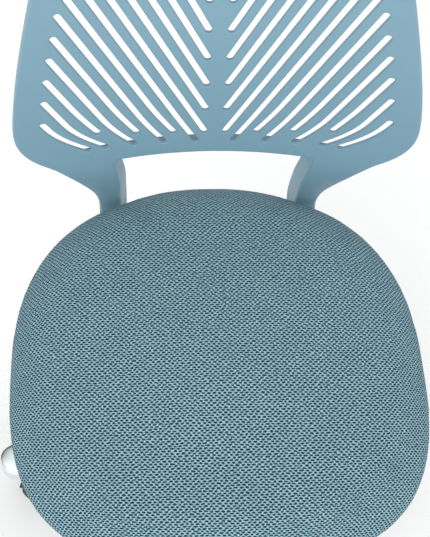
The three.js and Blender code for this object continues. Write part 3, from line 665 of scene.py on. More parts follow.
@dataclass
class Seat:
    """The upholstered seat: a foam pad on a board, under one cover that is turned in below.

    Attributes:
        back_power: roundness of the outline behind its widest line, 2 for an ellipse.
        front_power: the same in front of it.
        shoulder_width: how far in the edge's rounding reaches.
        shoulder_rise: how high it is.
        crown_rise: how far the middle stands above the shoulder.
        side_tuck: how far the side draws in down to the board.
        rim_rise: from the underside up to the widest line.
        pressure: force of the pressure that rounds the pad.
        settling: steps that it acts for.
        cap: the most that it may move a point.
        voxel: size of the pad's mesh.
        held: height of the stretch along the underside that the board holds.
        back_swell: how far the pad swells backwards between the backrest's arms.
        arm_gap: half distance between those arms.
        hem_width: width of the cover turned in below.
        hem_thickness: thickness of that turned cloth.
        pleats: number of gathers in the hem.
        gather: depth of one.
        bolt_hole: radius of the holes in the felt.
        sides: corners of the outline.
        low, high: corners of the cover's box.
        widest_y: where the seat is widest.
    """

    back_power: float = 2.43
    front_power: float = 2.9
    shoulder_width: float = 0.062
    shoulder_rise: float = 0.024
    crown_rise: float = 0.006
    side_tuck: float = 0.009
    rim_rise: float = 0.032
    pressure: float = 4.0
    settling: int = 20
    cap: float = 0.003
    voxel: float = 0.005
    held: float = 0.008
    back_swell: float = 0.006
    arm_gap: float = 0.095
    hem_width: float = 0.014
    hem_thickness: float = 0.0012
    pleats: int = 90
    gather: float = 0.0004
    bolt_hole: float = 0.0035
    sides: int = 144
    low: Vector = field(init=False)
    high: Vector = field(init=False)
    widest_y: float = field(init=False)

    def __post_init__(self) -> None:
        """Takes the seat's box from the frame."""
        self.low, self.high = box_of("seat_cover")
        behind_axis = 0.008
        self.widest_y = middle_of("gas_cylinder").y + behind_axis

    def ring(self, inset: float, height: float) -> Ring:
        """The seat's outline drawn in by an inset, at a height.

        Args:
            inset: how far it is drawn in.
            height: where the ring lies.

        Returns:
            The corners, anticlockwise.
        """
        points = []
        for i in range(self.sides):
            turn = 2 * math.pi * i / self.sides
            across, along = math.cos(turn), math.sin(turn)
            power = self.back_power if along > 0 else self.front_power
            far = self.high.y if along > 0 else self.low.y
            reach = abs(far - self.widest_y) - inset
            half = self.high.x - inset
            scale = (abs(across / half) ** power + abs(along / reach) ** power) ** (-1 / power)
            points.append(Vector((scale * across, self.widest_y + scale * along, height)))
        return points

    def pad_rings(self, bottom: float) -> list[Ring]:
        """Rings of the padded form from its underside to its crown.

        Args:
            bottom: height of the underside.

        Returns:
            The rings, from the lowest up.
        """
        rim = self.low.z + self.rim_rise
        rings = []
        for part in (0.0, 0.25, 0.5, 0.75):
            rings.append(self.ring(self.side_tuck * (1 - part) ** 2, bottom + (rim - bottom) * part))
        for degrees in range(0, 91, 10):
            turn = math.radians(degrees)
            inset = self.shoulder_width * (1 - math.cos(turn))
            rings.append(self.ring(inset, rim + self.shoulder_rise * math.sin(turn)))
        shoulder = rim + self.shoulder_rise
        flat = self.high.x - self.shoulder_width
        for part in (0.2, 0.4, 0.6, 0.8, 0.93):
            rise = self.crown_rise * (1 - math.cos(math.pi * part)) / 2
            rings.append(self.ring(self.shoulder_width + flat * part, shoulder + rise))
        return rings

    def inflate(self, pad: bpy.types.Object, held_below: float) -> None:
        """Rounds the pad by cloth under pressure, held along its underside.

        Args:
            pad: the pad's mesh.
            held_below: corners lower than this don't move.
        """
        before = [corner.co.copy() for corner in pad.data.vertices]
        held = pad.vertex_groups.new(name="held")
        held.add([i for i, place in enumerate(before) if place.z < held_below], 1.0, "REPLACE")
        cloth = pad.modifiers.new("pressure", "CLOTH")
        cloth.settings.use_pressure = True
        cloth.settings.uniform_pressure_force = self.pressure
        cloth.settings.effector_weights.gravity = 0.0
        cloth.settings.vertex_group_mass = held.name
        cloth.settings.quality = 5
        scene = bpy.context.scene
        for step in range(1, self.settling + 1):
            scene.frame_set(step)
        make_active(pad)
        bpy.ops.object.modifier_apply(modifier=cloth.name)
        scene.frame_set(1)
        pad.vertex_groups.clear()
        for corner, place in zip(pad.data.vertices, before):
            moved = corner.co - place
            if moved.length > self.cap:
                corner.co = place + moved * (self.cap / moved.length)

    def fill_cover(self, pad: bpy.types.Object, bottom: float) -> None:
        """Stretches the pad, more the higher it stands, until it fills the cover's box.

        Args:
            pad: the pad's mesh.
            bottom: height of its underside, which stays as it is.
        """
        rim = self.low.z + self.rim_rise
        corners = pad.data.vertices
        low = Vector([min(c.co[axis] for c in corners) for axis in range(3)])
        high = Vector([max(c.co[axis] for c in corners) for axis in range(3)])
        for corner in corners:
            pull = share(corner.co.z, bottom, rim)
            for axis in (0, 1):
                part = (corner.co[axis] - low[axis]) / (high[axis] - low[axis])
                filled = self.low[axis] + (self.high[axis] - self.low[axis]) * part
                corner.co[axis] += pull * (filled - corner.co[axis])
            between_arms = max(0.0, 1 - (corner.co.x / self.arm_gap) ** 2)
            towards_back = share(corner.co.y, self.widest_y, self.high.y)
            corner.co.y += pull * self.back_swell * between_arms * towards_back ** 3
            corner.co.z = bottom + (corner.co.z - bottom) * (self.high.z - bottom) / (high.z - bottom)

    def lay_weave(self, piece: bpy.types.Object) -> None:
        """Maps the cloth: straight over the top, and outwards by the drop down the sides.

        Args:
            piece: the mesh that gets the map.
        """
        crown = self.low.z + self.rim_rise + self.shoulder_rise + self.crown_rise
        half = self.high.x
        reach = (self.high.y - self.low.y) / 2
        middle = (self.high.y + self.low.y) / 2
        cloth = piece.data.uv_layers.new(name=WEAVE_MAP)
        for loop in piece.data.loops:
            place = piece.data.vertices[loop.vertex_index].co
            away = Vector((place.x / half, (place.y - middle) / reach))
            drop = max(0.0, crown - place.z) * min(1.0, away.length) ** 4
            outward = away.normalized() if away.length > SAME else away
            cloth.data[loop.index].uv = (Vector((place.x, place.y)) + outward * drop) * MM

    def build_cushion(self) -> None:
        """Makes the padded cushion, with a pocket below for the board."""
        crease = math.radians(50)
        bottom = self.low.z + self.hem_thickness + FIT
        cushion = loft("seat_cushion", self.pad_rings(bottom))
        apply_modifier(cushion, "REMESH", mode="VOXEL", voxel_size=self.voxel)
        self.inflate(cushion, bottom + self.held)
        free = cushion.vertex_groups.new(name="free")
        free.add([c.index for c in cushion.data.vertices if c.co.z > bottom + self.held], 1.0, "REPLACE")
        apply_modifier(cushion, "SMOOTH", factor=0.5, iterations=4, vertex_group=free.name)
        cushion.vertex_groups.clear()
        self.fill_cover(cushion, bottom)
        apply_modifier(cushion, "SUBSURF", levels=1, render_levels=1)
        board = box_of("seat_board")[1]
        inset = self.high.x - board.x - FIT
        pocket = loft("board_pocket", [self.ring(inset, z) for z in (bottom - PAST, board.z + FIT)])
        combine(cushion, pocket, Cut.TAKE_AWAY)
        self.lay_weave(cushion)
        make_active(cushion)
        bpy.ops.object.shade_smooth_by_angle(angle=crease)
        fit_out(cushion, SEAT_CLOTH, "seat", "seat_fabric", "seat_cover", "seat_foam")

    def build_hem(self) -> None:
        """Makes the cover's edge, gathered and turned in under the board."""
        behind_side = 0.001
        pull_in = 4  # how much a gather draws the hem's inner edge in or out, for its depth
        inner = self.high.x - box_of("seat_board")[1].x + self.hem_width
        outer = self.side_tuck + behind_side
        rows = []
        top = self.low.z + self.hem_thickness
        for inset, z in ((inner, self.low.z), (outer, self.low.z), (outer, top), (inner, top)):
            rows.append(self.ring(inset, z))
        for i in range(self.sides):
            gather = self.gather * math.sin(2 * math.pi * self.pleats * i / self.sides)
            rows[0][i].z -= abs(gather)
            rows[0][i].xy *= 1 + gather * pull_in
        hem = loft("seat_hem", rows, ends=Ends.LOOPED)
        self.lay_weave(hem)
        smooth(hem, 40)
        fit_out(hem, SEAT_CLOTH, "seat", "seat_fabric")

    def build_dust_cover(self) -> None:
        """Makes the felt sheet under the board, drilled for the bolts."""
        low, high = box_of("dust_cover")
        inset = self.high.x - high.x
        sheet = loft("felt_sheet", [self.ring(inset, z) for z in (low.z, high.z)])
        through = [(self.bolt_hole, low.z - PAST), (self.bolt_hole, high.z + PAST)]
        for kind in BOLT_KINDS:
            for number in BOLTS_OF_A_KIND:
                at = middle_of(f"{kind}_{number}")
                combine(sheet, turned("drill", through, (at.x, at.y, 0), 16), Cut.TAKE_AWAY)
        smooth(sheet)
        fit_out(sheet, FELT, "seat", "felt", "dust_cover")

    def build(self) -> None:
        """Builds the cushion, its hem and the sheet under it, and dresses the board."""
        self.build_cushion()
        self.build_hem()
        self.build_dust_cover()
        paint.on(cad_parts["seat_board"], PLYWOOD)


# ---------------------------------------------------------------- backrest


@dataclass(frozen=True)
class Station:
    """A place on the backrest's centre line: its lean from upright, and where it is."""

    lean: float
    y: float
    z: float

    def walk(self, length: float, turn: float, direction: int) -> "Station":
        """Follows an arc that turns evenly.

        Args:
            length: length of the arc.
            turn: how far it turns in all, in radians.
            direction: 1 up the line, -1 down it.

        Returns:
            The place at the arc's end.
        """
        half = turn / 2
        chord = length if half == 0 else length * math.sin(half) / half
        return Station(self.lean + turn, self.y + direction * chord * math.sin(self.lean + half),
                       self.z + direction * chord * math.cos(self.lean + half))


@dataclass
class Backrest:
    """The one-piece moulding: a slotted panel with a rim behind it, and two arms that end in feet.

    It is drawn flat, x across and y up its face, with the face at depth 0, and is then bent to its
    centre line. Heights along the face start at the reference height.

    Attributes:
        wall: thickness of the panel.
        depth: depth of the rim and of the arms.
        rim_wall: thickness of the rim.
        front_y: how far the face is behind the swivel axis at the reference height.
        rise: of the reference height above the seat's underside.
        reference_lean: lean there, in degrees, less than 0 forward.
        lean_per_metre: how far the face turns back for each metre up, in degrees.
        side_radius: the face is hollow across its width by this radius.
        bottom_edge, top_edge: heights of the panel's edges.
        top_sag: the top edge is lower at its corners by this.
        half_width, widest_height: the panel's widest line.
        shoulder_half_width, shoulder_height: where the sides start to turn in.
        arm_inner, arm_outer: the arm's sides at the seat.
        arm_inner_top: where its inner side leaves the panel's bottom edge.
        flare_length, flare_turn: the stretch of the arms below the panel, in metres and degrees.
        lower_turn: how far the next stretch turns, in degrees.
        bend_radius: radius of the bend under the seat.
        foot_past_bolt: from the front bolt to the foot's end.
        slot_width, slot_slope, slot_pitch: of the slots; slope is rise over run, pitch is up the face.
        slot_first_height: where the lowest slot that starts at the spine starts.
        slot_spine: half width of the plain spine.
        slot_bend_rise: height of the curl at a lower slot's foot.
        slot_lowest: index of the lowest slot.
        slot_outermost_long: from this index down, every slot is a long one.
        slot_edge_margin, slot_top_margin: plain border at the sides and at the top.
        arm_draft: how far the arms' inner sides draw in towards the back.
        draft_fade: length over which that begins and ends.
        bolt_hole: radius of the holes in the feet.
        outer_rounding, back_rounding, slot_rounding: radii of the front's, the back's and the slots' edges.
        foot_rounding, crotch_rounding: radii at the feet's corners and where the arms leave the panel.
        lower_corner: the panel's lower corner, out from the arm and up from the bottom edge.
        arm_straight_below: how far under that corner the arm starts to swing out.
        corner_handle: how far in and down the handle of that swing stands from the corner.
        crown_corner, pocket_corner: how far in the top edge and the pocket's lower edge end.
        curve_steps: points along each curve.
        reference, stretches, ends, bolts: the centre line's start, its stretches down from the panel, the
            heights where they end, and the bolts' places, all worked out.
    """

    wall: float = 0.0045
    depth: float = 0.022
    rim_wall: float = 0.0045
    front_y: float = 0.2135
    rise: float = 0.115
    reference_lean: float = -2.3
    lean_per_metre: float = 39.7
    side_radius: float = 0.496
    bottom_edge: float = 0.022
    top_edge: float = 0.352
    top_sag: float = 0.009
    half_width: float = 0.205
    widest_height: float = 0.098
    shoulder_half_width: float = 0.174
    shoulder_height: float = 0.270
    arm_inner: float = 0.101
    arm_outer: float = 0.126
    arm_inner_top: float = 0.107
    flare_length: float = 0.070
    flare_turn: float = -12.6
    lower_turn: float = -2.0
    bend_radius: float = 0.014
    foot_past_bolt: float = 0.016
    slot_width: float = 0.0072
    slot_slope: float = 1.97
    slot_first_height: float = 0.056
    slot_pitch: float = 0.035
    slot_spine: float = 0.011
    slot_bend_rise: float = 0.022
    slot_lowest: int = -8
    slot_outermost_long: int = -7
    slot_edge_margin: float = 0.029
    slot_top_margin: float = 0.026
    arm_draft: float = 0.007
    draft_fade: float = 0.014
    bolt_hole: float = 0.0035
    outer_rounding: float = 0.0024
    back_rounding: float = 0.0015
    slot_rounding: float = 0.0008
    foot_rounding: float = 0.006
    crotch_rounding: float = 0.008
    lower_corner: tuple[float, float] = (0.048, 0.011)
    arm_straight_below: float = 0.078
    corner_handle: float = 0.025
    crown_corner: float = 0.050
    pocket_corner: float = 0.050
    curve_steps: int = 12
    reference: Station = field(init=False)
    stretches: list[tuple[float, float]] = field(init=False)
    ends: list[float] = field(init=False)
    bolts: list[tuple[float, float]] = field(init=False)

    # The outline's long curves, from the arm's inner side round the panel to its top, and the pocket's.
    ARM_INSIDE: ClassVar[Bow] = Bow((-0.002, -0.016), (0.0, 0.018))
    LOWER_SIDE: ClassVar[Bow] = Bow((0.014, 0.014), (0.0, -0.030))
    UPPER_SIDE: ClassVar[Bow] = Bow((0.0, 0.037), (0.014, -0.057))
    ROUND_TOP: ClassVar[Bow] = Bow((-0.013, 0.048), (0.030, -0.002))
    POCKET_CORNER: ClassVar[Bow] = Bow((0.022, 0.002), (0.0, -0.036))

    def __post_init__(self) -> None:
        """Works out the centre line from the sizes and from where the frame has the feet."""
        axis_y = middle_of("gas_cylinder").y
        fixing_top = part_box("mechanism_plate")[1][2]
        bolt_ys = [middle_of(f"back_bolt_{i}").y for i in (1, 2)]
        reference_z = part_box("seat_board")[0][2] + self.rise
        self.reference = Station(math.radians(self.reference_lean), self.front_y + axis_y, reference_z)
        bottom = self.face_at(self.bottom_edge)
        flare = (self.flare_length, math.radians(self.flare_turn))
        flare_end = bottom.walk(*flare, -1)
        lower_turn = math.radians(self.lower_turn)
        bend_lean = flare_end.lean + lower_turn
        drop = self.bend_radius * (1 - math.sin(bend_lean))
        lower_length = (flare_end.z - drop - fixing_top) / math.cos(flare_end.lean + lower_turn / 2)
        bend_turn = math.pi / 2 - bend_lean
        bend = (self.bend_radius * bend_turn, bend_turn)
        foot_start = flare_end.walk(lower_length, lower_turn, -1).walk(*bend, -1)
        foot = (foot_start.y - min(bolt_ys) + self.foot_past_bolt, 0.0)
        self.stretches = [flare, (lower_length, lower_turn), bend, foot]
        self.ends = [self.bottom_edge]
        for length, _ in self.stretches:
            self.ends.append(self.ends[-1] - length)
        self.bolts = [(side * (self.arm_inner + self.arm_outer) / 2, self.ends[3] - (foot_start.y - y))
                      for side in (-1, 1) for y in bolt_ys]

    def face_at(self, height: float) -> Station:
        """The panel's centre line at a height."""
        turn = math.radians(self.lean_per_metre * height)
        return self.reference.walk(height, turn, 1)

    def path_at(self, height: float) -> Station:
        """The whole centre line at a height, down to the feet.

        Args:
            height: along the face, less than the panel's bottom edge on the arms.

        Returns:
            The place there.
        """
        if height >= self.bottom_edge:
            return self.face_at(height)
        state = self.face_at(self.bottom_edge)
        left = self.bottom_edge - height
        for length, turn in self.stretches:
            part = min(1.0, left / length)
            state = state.walk(length * part, turn * part, -1)
            left -= length * part
            if left <= 1e-9:
                break
        return state

    def bend_all(self, piece: bpy.types.Object) -> None:
        """Bends the flat moulding to its centre line and hollows its face across.

        Args:
            piece: the flat moulding.
        """
        stations: dict[float, Station] = {}
        fade_end, fade_start = self.ends[2], self.bottom_edge
        for corner in piece.data.vertices:
            x, height, depth = corner.co.x, corner.co.y, -corner.co.z
            key = round(height, 7)
            if key not in stations:
                stations[key] = self.path_at(height)
            state = stations[key]
            part = share(height, fade_end, fade_start)
            hollow = part * part * (3 - 2 * part) * x * x / (2 * self.side_radius)
            across = share(abs(x), self.arm_outer, self.arm_inner)
            fade = share(min(self.bottom_edge - height, height - self.ends[3]), 0.0, self.draft_fade)
            x -= math.copysign(self.arm_draft * across * fade * depth / self.depth, x)
            corner.co = (x, state.y + depth * math.cos(state.lean) - hollow,
                         state.z - depth * math.sin(state.lean))

    def upper_side(self, inset: float, start: Vector) -> Ring:
        """Right edge of the panel from its widest line to the top centre, drawn in by an inset.

        Args:
            inset: how far it is drawn in.
            start: its point on the widest line.

        Returns:
            The points, without the first.
        """
        steps = self.curve_steps
        top = self.top_edge - inset
        shoulder = Vector((self.shoulder_half_width - inset, self.shoulder_height))
        corner = Vector((shoulder.x - self.crown_corner, top - self.top_sag))
        crest = [corner, Vector((corner.x / 2, top)), Vector((0.0, top))]
        return [*self.UPPER_SIDE.between(start, shoulder, steps),
                *self.ROUND_TOP.between(shoulder, corner, steps), *bezier(crest, steps)]

    def moulding_outline(self) -> Ring:
        """Right half of the whole outline, from the bottom centre to the top centre."""
        flare_end, lower_end, _, foot_end = self.ends[1:]
        inner, outer, bottom = self.arm_inner, self.arm_outer, self.bottom_edge
        steps = self.curve_steps
        draw_in = 0.001
        points = [Vector((0.0, bottom)), Vector((self.arm_inner_top - self.crotch_rounding, bottom))]
        leave = Vector((self.arm_inner_top - draw_in, bottom - self.crotch_rounding))
        points += bezier([points[-1], Vector((self.arm_inner_top, bottom)), leave], 6)
        points += self.ARM_INSIDE.between(leave, Vector((inner, flare_end)), steps)
        rounding = self.foot_rounding
        points.append(Vector((inner, foot_end + rounding)))
        points += bezier([points[-1], Vector((inner, foot_end)), Vector((inner + rounding, foot_end))], 5)
        points.append(Vector((outer - rounding, foot_end)))
        points += bezier([points[-1], Vector((outer, foot_end)), Vector((outer, foot_end + rounding))], 5)
        points.append(Vector((outer, lower_end)))
        corner = Vector((outer + self.lower_corner[0], bottom + self.lower_corner[1]))
        points += bezier([points[-1], Vector((outer, corner.y - self.arm_straight_below)),
                          corner - Vector((self.corner_handle, self.corner_handle)), corner], steps)
        widest = Vector((self.half_width, self.widest_height))
        points += self.LOWER_SIDE.between(corner, widest, steps)
        return points + self.upper_side(0.0, widest)

    def pocket_outline(self) -> Ring:
        """Right half of the hollow behind the panel."""
        inset = self.rim_wall
        flat_end = Vector((self.half_width - inset - self.pocket_corner, self.bottom_edge + inset))
        widest = Vector((self.half_width - inset, self.widest_height))
        points = [Vector((0.0, flat_end.y)), flat_end]
        points += self.POCKET_CORNER.between(flat_end, widest, self.curve_steps)
        return points + self.upper_side(inset, widest)

    @staticmethod
    def both_halves(points: Ring) -> Ring:
        """A closed outline from its right half."""
        left = [Vector((-p.x, p.y)) for p in points if p.x > SAME]
        return [*points, *reversed(left)]

    def panel_half_width(self, height: float) -> float:
        """The panel's half width at a height."""
        fullness = 1.4
        above = max(0.0, height - self.widest_height) / (self.shoulder_height - self.widest_height)
        return self.half_width - (self.half_width - self.shoulder_half_width) * above ** fullness

    def slot_line(self, index: int) -> Ring:
        """Centre line of one slot of the right half, from its inner end to its outer end.

        Args:
            index: 0 for the lowest slot that starts at the spine, more above it, less for the
                ones below, whose lower ends curl outward over the bottom border.

        Returns:
            The line's points.
        """
        base = self.slot_first_height + self.slot_pitch * index
        height_at: Callable[[float], float] = lambda x: base + self.slot_slope * (x - self.slot_spine)
        x_at: Callable[[float], float] = lambda height: self.slot_spine + (height - base) / self.slot_slope
        rise = self.slot_bend_rise
        if index < 0:
            is_long = index % 2 != 0 or index <= self.slot_outermost_long
            # The foot's lift over the first slot's start and the slope of its curl, by how many slots
            # below the first it is. The long ones reach down between the short ones.
            below = -index
            long_foot = (0.0009 * below - 0.015, max(0.78, 1.9 - 0.17 * below))
            short_foot = (0.00044 * below * below, 1.5)
            lift, steepness = long_foot if is_long else short_foot
            end_height = self.slot_first_height + lift
            control = Vector((x_at(end_height + rise), end_height + rise))
            end = Vector((control.x - rise / steepness, end_height))
            on_line = Vector((x_at(control.y + rise), control.y + rise))
            points = [end, *bezier([end, control, on_line], 8)]
        else:
            points = [Vector((self.slot_spine, height_at(self.slot_spine)))]
        outer = points[-1].x
        step = 0.0005
        while self.is_inside(outer + step, height_at(outer + step)):
            outer += step
        return [*points, Vector((outer, height_at(outer)))]

    def is_inside(self, x: float, height: float) -> bool:
        """Whether a slot may reach this far out and up."""
        top = self.top_edge - self.top_sag * (x / self.shoulder_half_width) ** 2 - self.slot_top_margin
        return x < self.panel_half_width(height) - self.slot_edge_margin and height < top

    def slot_outline(self, line: Ring, side: int, half: float) -> Ring:
        """A slot's edge: its line widened both ways by half its width, with round ends.

        Args:
            line: centre line of a slot of the right half.
            side: 1 for the slot itself, -1 for its twin in the left half.
            half: half the width.

        Returns:
            The closed outline.
        """
        headings = []
        for i in range(len(line)):
            run = line[min(len(line) - 1, i + 1)] - line[max(0, i - 1)]
            headings.append(math.atan2(run.y, run.x))
        right = [self.beside(p, turn - math.pi / 2, half) for p, turn in zip(line, headings)]
        left = [self.beside(p, turn + math.pi / 2, half) for p, turn in zip(line, headings)]
        steps = 8
        arc = [math.pi * (i / steps - 0.5) for i in range(1, steps)]
        tip = [self.beside(line[-1], headings[-1] + turn, half) for turn in arc]
        tail = [self.beside(line[0], headings[0] + math.pi + turn, half) for turn in arc]
        return [Vector((side * p.x, p.y)) for p in [*right, *tip, *reversed(left), *tail]]

    @staticmethod
    def beside(point: Vector, heading: float, distance: float) -> Vector:
        """A point at a distance from another."""
        return point + distance * Vector((math.cos(heading), math.sin(heading)))

    def slot_lines(self) -> list[Ring]:
        """Centre lines of the right half's slots, from the lowest up."""
        lines = []
        index = self.slot_lowest
        line = self.slot_line(index)
        shortest = 3 * self.slot_width
        while line[-1].y - line[0].y >= shortest:
            lines.append(line)
            index += 1
            line = self.slot_line(index)
        return lines

    def flat_sheet(self, name: str, outlines: Sequence[Ring], level: float) -> bpy.types.Object:
        """A flat filled sheet whose first outline is its edge and whose others are holes.

        Args:
            name: the sheet's name.
            outlines: its edges.
            level: the height that it lies at.

        Returns:
            The sheet as a mesh.
        """
        drawing = bpy.data.curves.new(name, "CURVE")
        drawing.dimensions = "2D"
        drawing.fill_mode = "BOTH"
        for outline in outlines:
            edge = drawing.splines.new("POLY")
            edge.points.add(len(outline) - 1)
            for point, place in zip(edge.points, outline):
                point.co = (place.x, place.y, 0.0, 1.0)
            edge.use_cyclic_u = True
        sheet = bpy.data.objects.new(name, drawing)
        bpy.context.collection.objects.link(sheet)
        make_active(sheet)
        bpy.ops.object.convert(target="MESH")
        sheet = bpy.context.object
        sheet.data.transform(Matrix.Translation((0, 0, level)))
        return sheet

    def build(self) -> None:
        """Makes the flat moulding's faces and rounded walls, joins them and bends them to shape."""
        outline = self.both_halves(self.moulding_outline())
        pocket = self.both_halves(self.pocket_outline())

        def slot_edge(line: Ring, side: int) -> Callable[[float], Ring]:
            """A slot's edge, moved out by a distance."""
            return lambda inset: self.slot_outline(line, side, self.slot_width / 2 + inset)

        def bolt_edge(x: float, y: float) -> Callable[[float], Ring]:
            """A bolt hole's edge, moved out by a distance."""
            return lambda inset: [Vector((x + p.x, y + p.y)) for p in circle(self.bolt_hole + inset, 0.0, 24)]

        slots = [slot_edge(line, side) for line in self.slot_lines() for side in (-1, 1)]
        bolts = [bolt_edge(x, y) for x, y in self.bolts]
        face, back = (0.0, -self.wall), -self.depth
        small = self.slot_rounding
        cut_slots = [edge(small) for edge in slots]
        cut_bolts = [edge(small) for edge in bolts]
        sheets = [
            ("face", [drawn_in(outline, self.outer_rounding), *cut_slots, *cut_bolts], 0.0),
            ("floor", [pocket, *cut_slots], -self.wall),
            ("rim", [drawn_in(outline, self.back_rounding), drawn_in(pocket, -small), *cut_bolts], back)]
        edges = (self.outer_rounding, self.back_rounding)
        walls = [(lambda inset: drawn_in(outline, inset), (0.0, back), edges),
                 (lambda inset: drawn_in(pocket, -inset), (-self.wall, back), (0.0, small))]
        walls += [(edge, face, (small, small)) for edge in slots]
        walls += [(edge, (0.0, back), (small, small)) for edge in bolts]
        parts = [self.flat_sheet(*sheet) for sheet in sheets]
        parts += [loft("wall", wall_rings(*wall), Ends.OPEN) for wall in walls]
        shell = parts[0]
        shell.name = "slotted_backrest"
        make_active(shell)
        for part in parts:
            part.select_set(True)
        bpy.ops.object.join()
        face_outwards(shell, 10 * SAME)
        self.bisect_all(shell)
        self.bend_all(shell)
        smooth(shell, 40)
        fit_out(shell, BACK_PLASTIC, "seat", "back_plastic", "back_shell")

    def bisect_all(self, shell: bpy.types.Object) -> None:
        """Cuts the flat moulding along level and upright lines, so that it can bend.

        Args:
            shell: the flat moulding.
        """
        heights = self.spaced(self.top_edge, self.bottom_edge, 0.009)
        heights += self.spaced(self.ends[0], self.ends[1], 0.006)
        heights += self.spaced(self.ends[1], self.ends[2], 0.012)
        heights += self.spaced(self.ends[2], self.ends[3], 0.0016)
        widths = self.spaced(-self.half_width, self.half_width, 0.016)
        lines = [((0, height, 0), (0, 1, 0)) for height in heights]
        lines += [((width, 0, 0), (1, 0, 0)) for width in widths]
        with editing(shell, "FACE"):
            for place, across in lines:
                bpy.ops.mesh.select_all(action="SELECT")
                bpy.ops.mesh.bisect(plane_co=place, plane_no=across, threshold=SAME)

    @staticmethod
    def spaced(first: float, last: float, spacing: float) -> list[float]:
        """Even steps from one value to another, the first left out.

        Args:
            first: where the steps start.
            last: where they end.
            spacing: about how far apart they are.

        Returns:
            The steps.
        """
        count = max(1, round(abs(last - first) / spacing))
        return [first + (last - first) * i / count for i in range(1, count + 1)]


# ---------------------------------------------------------------- base and castors


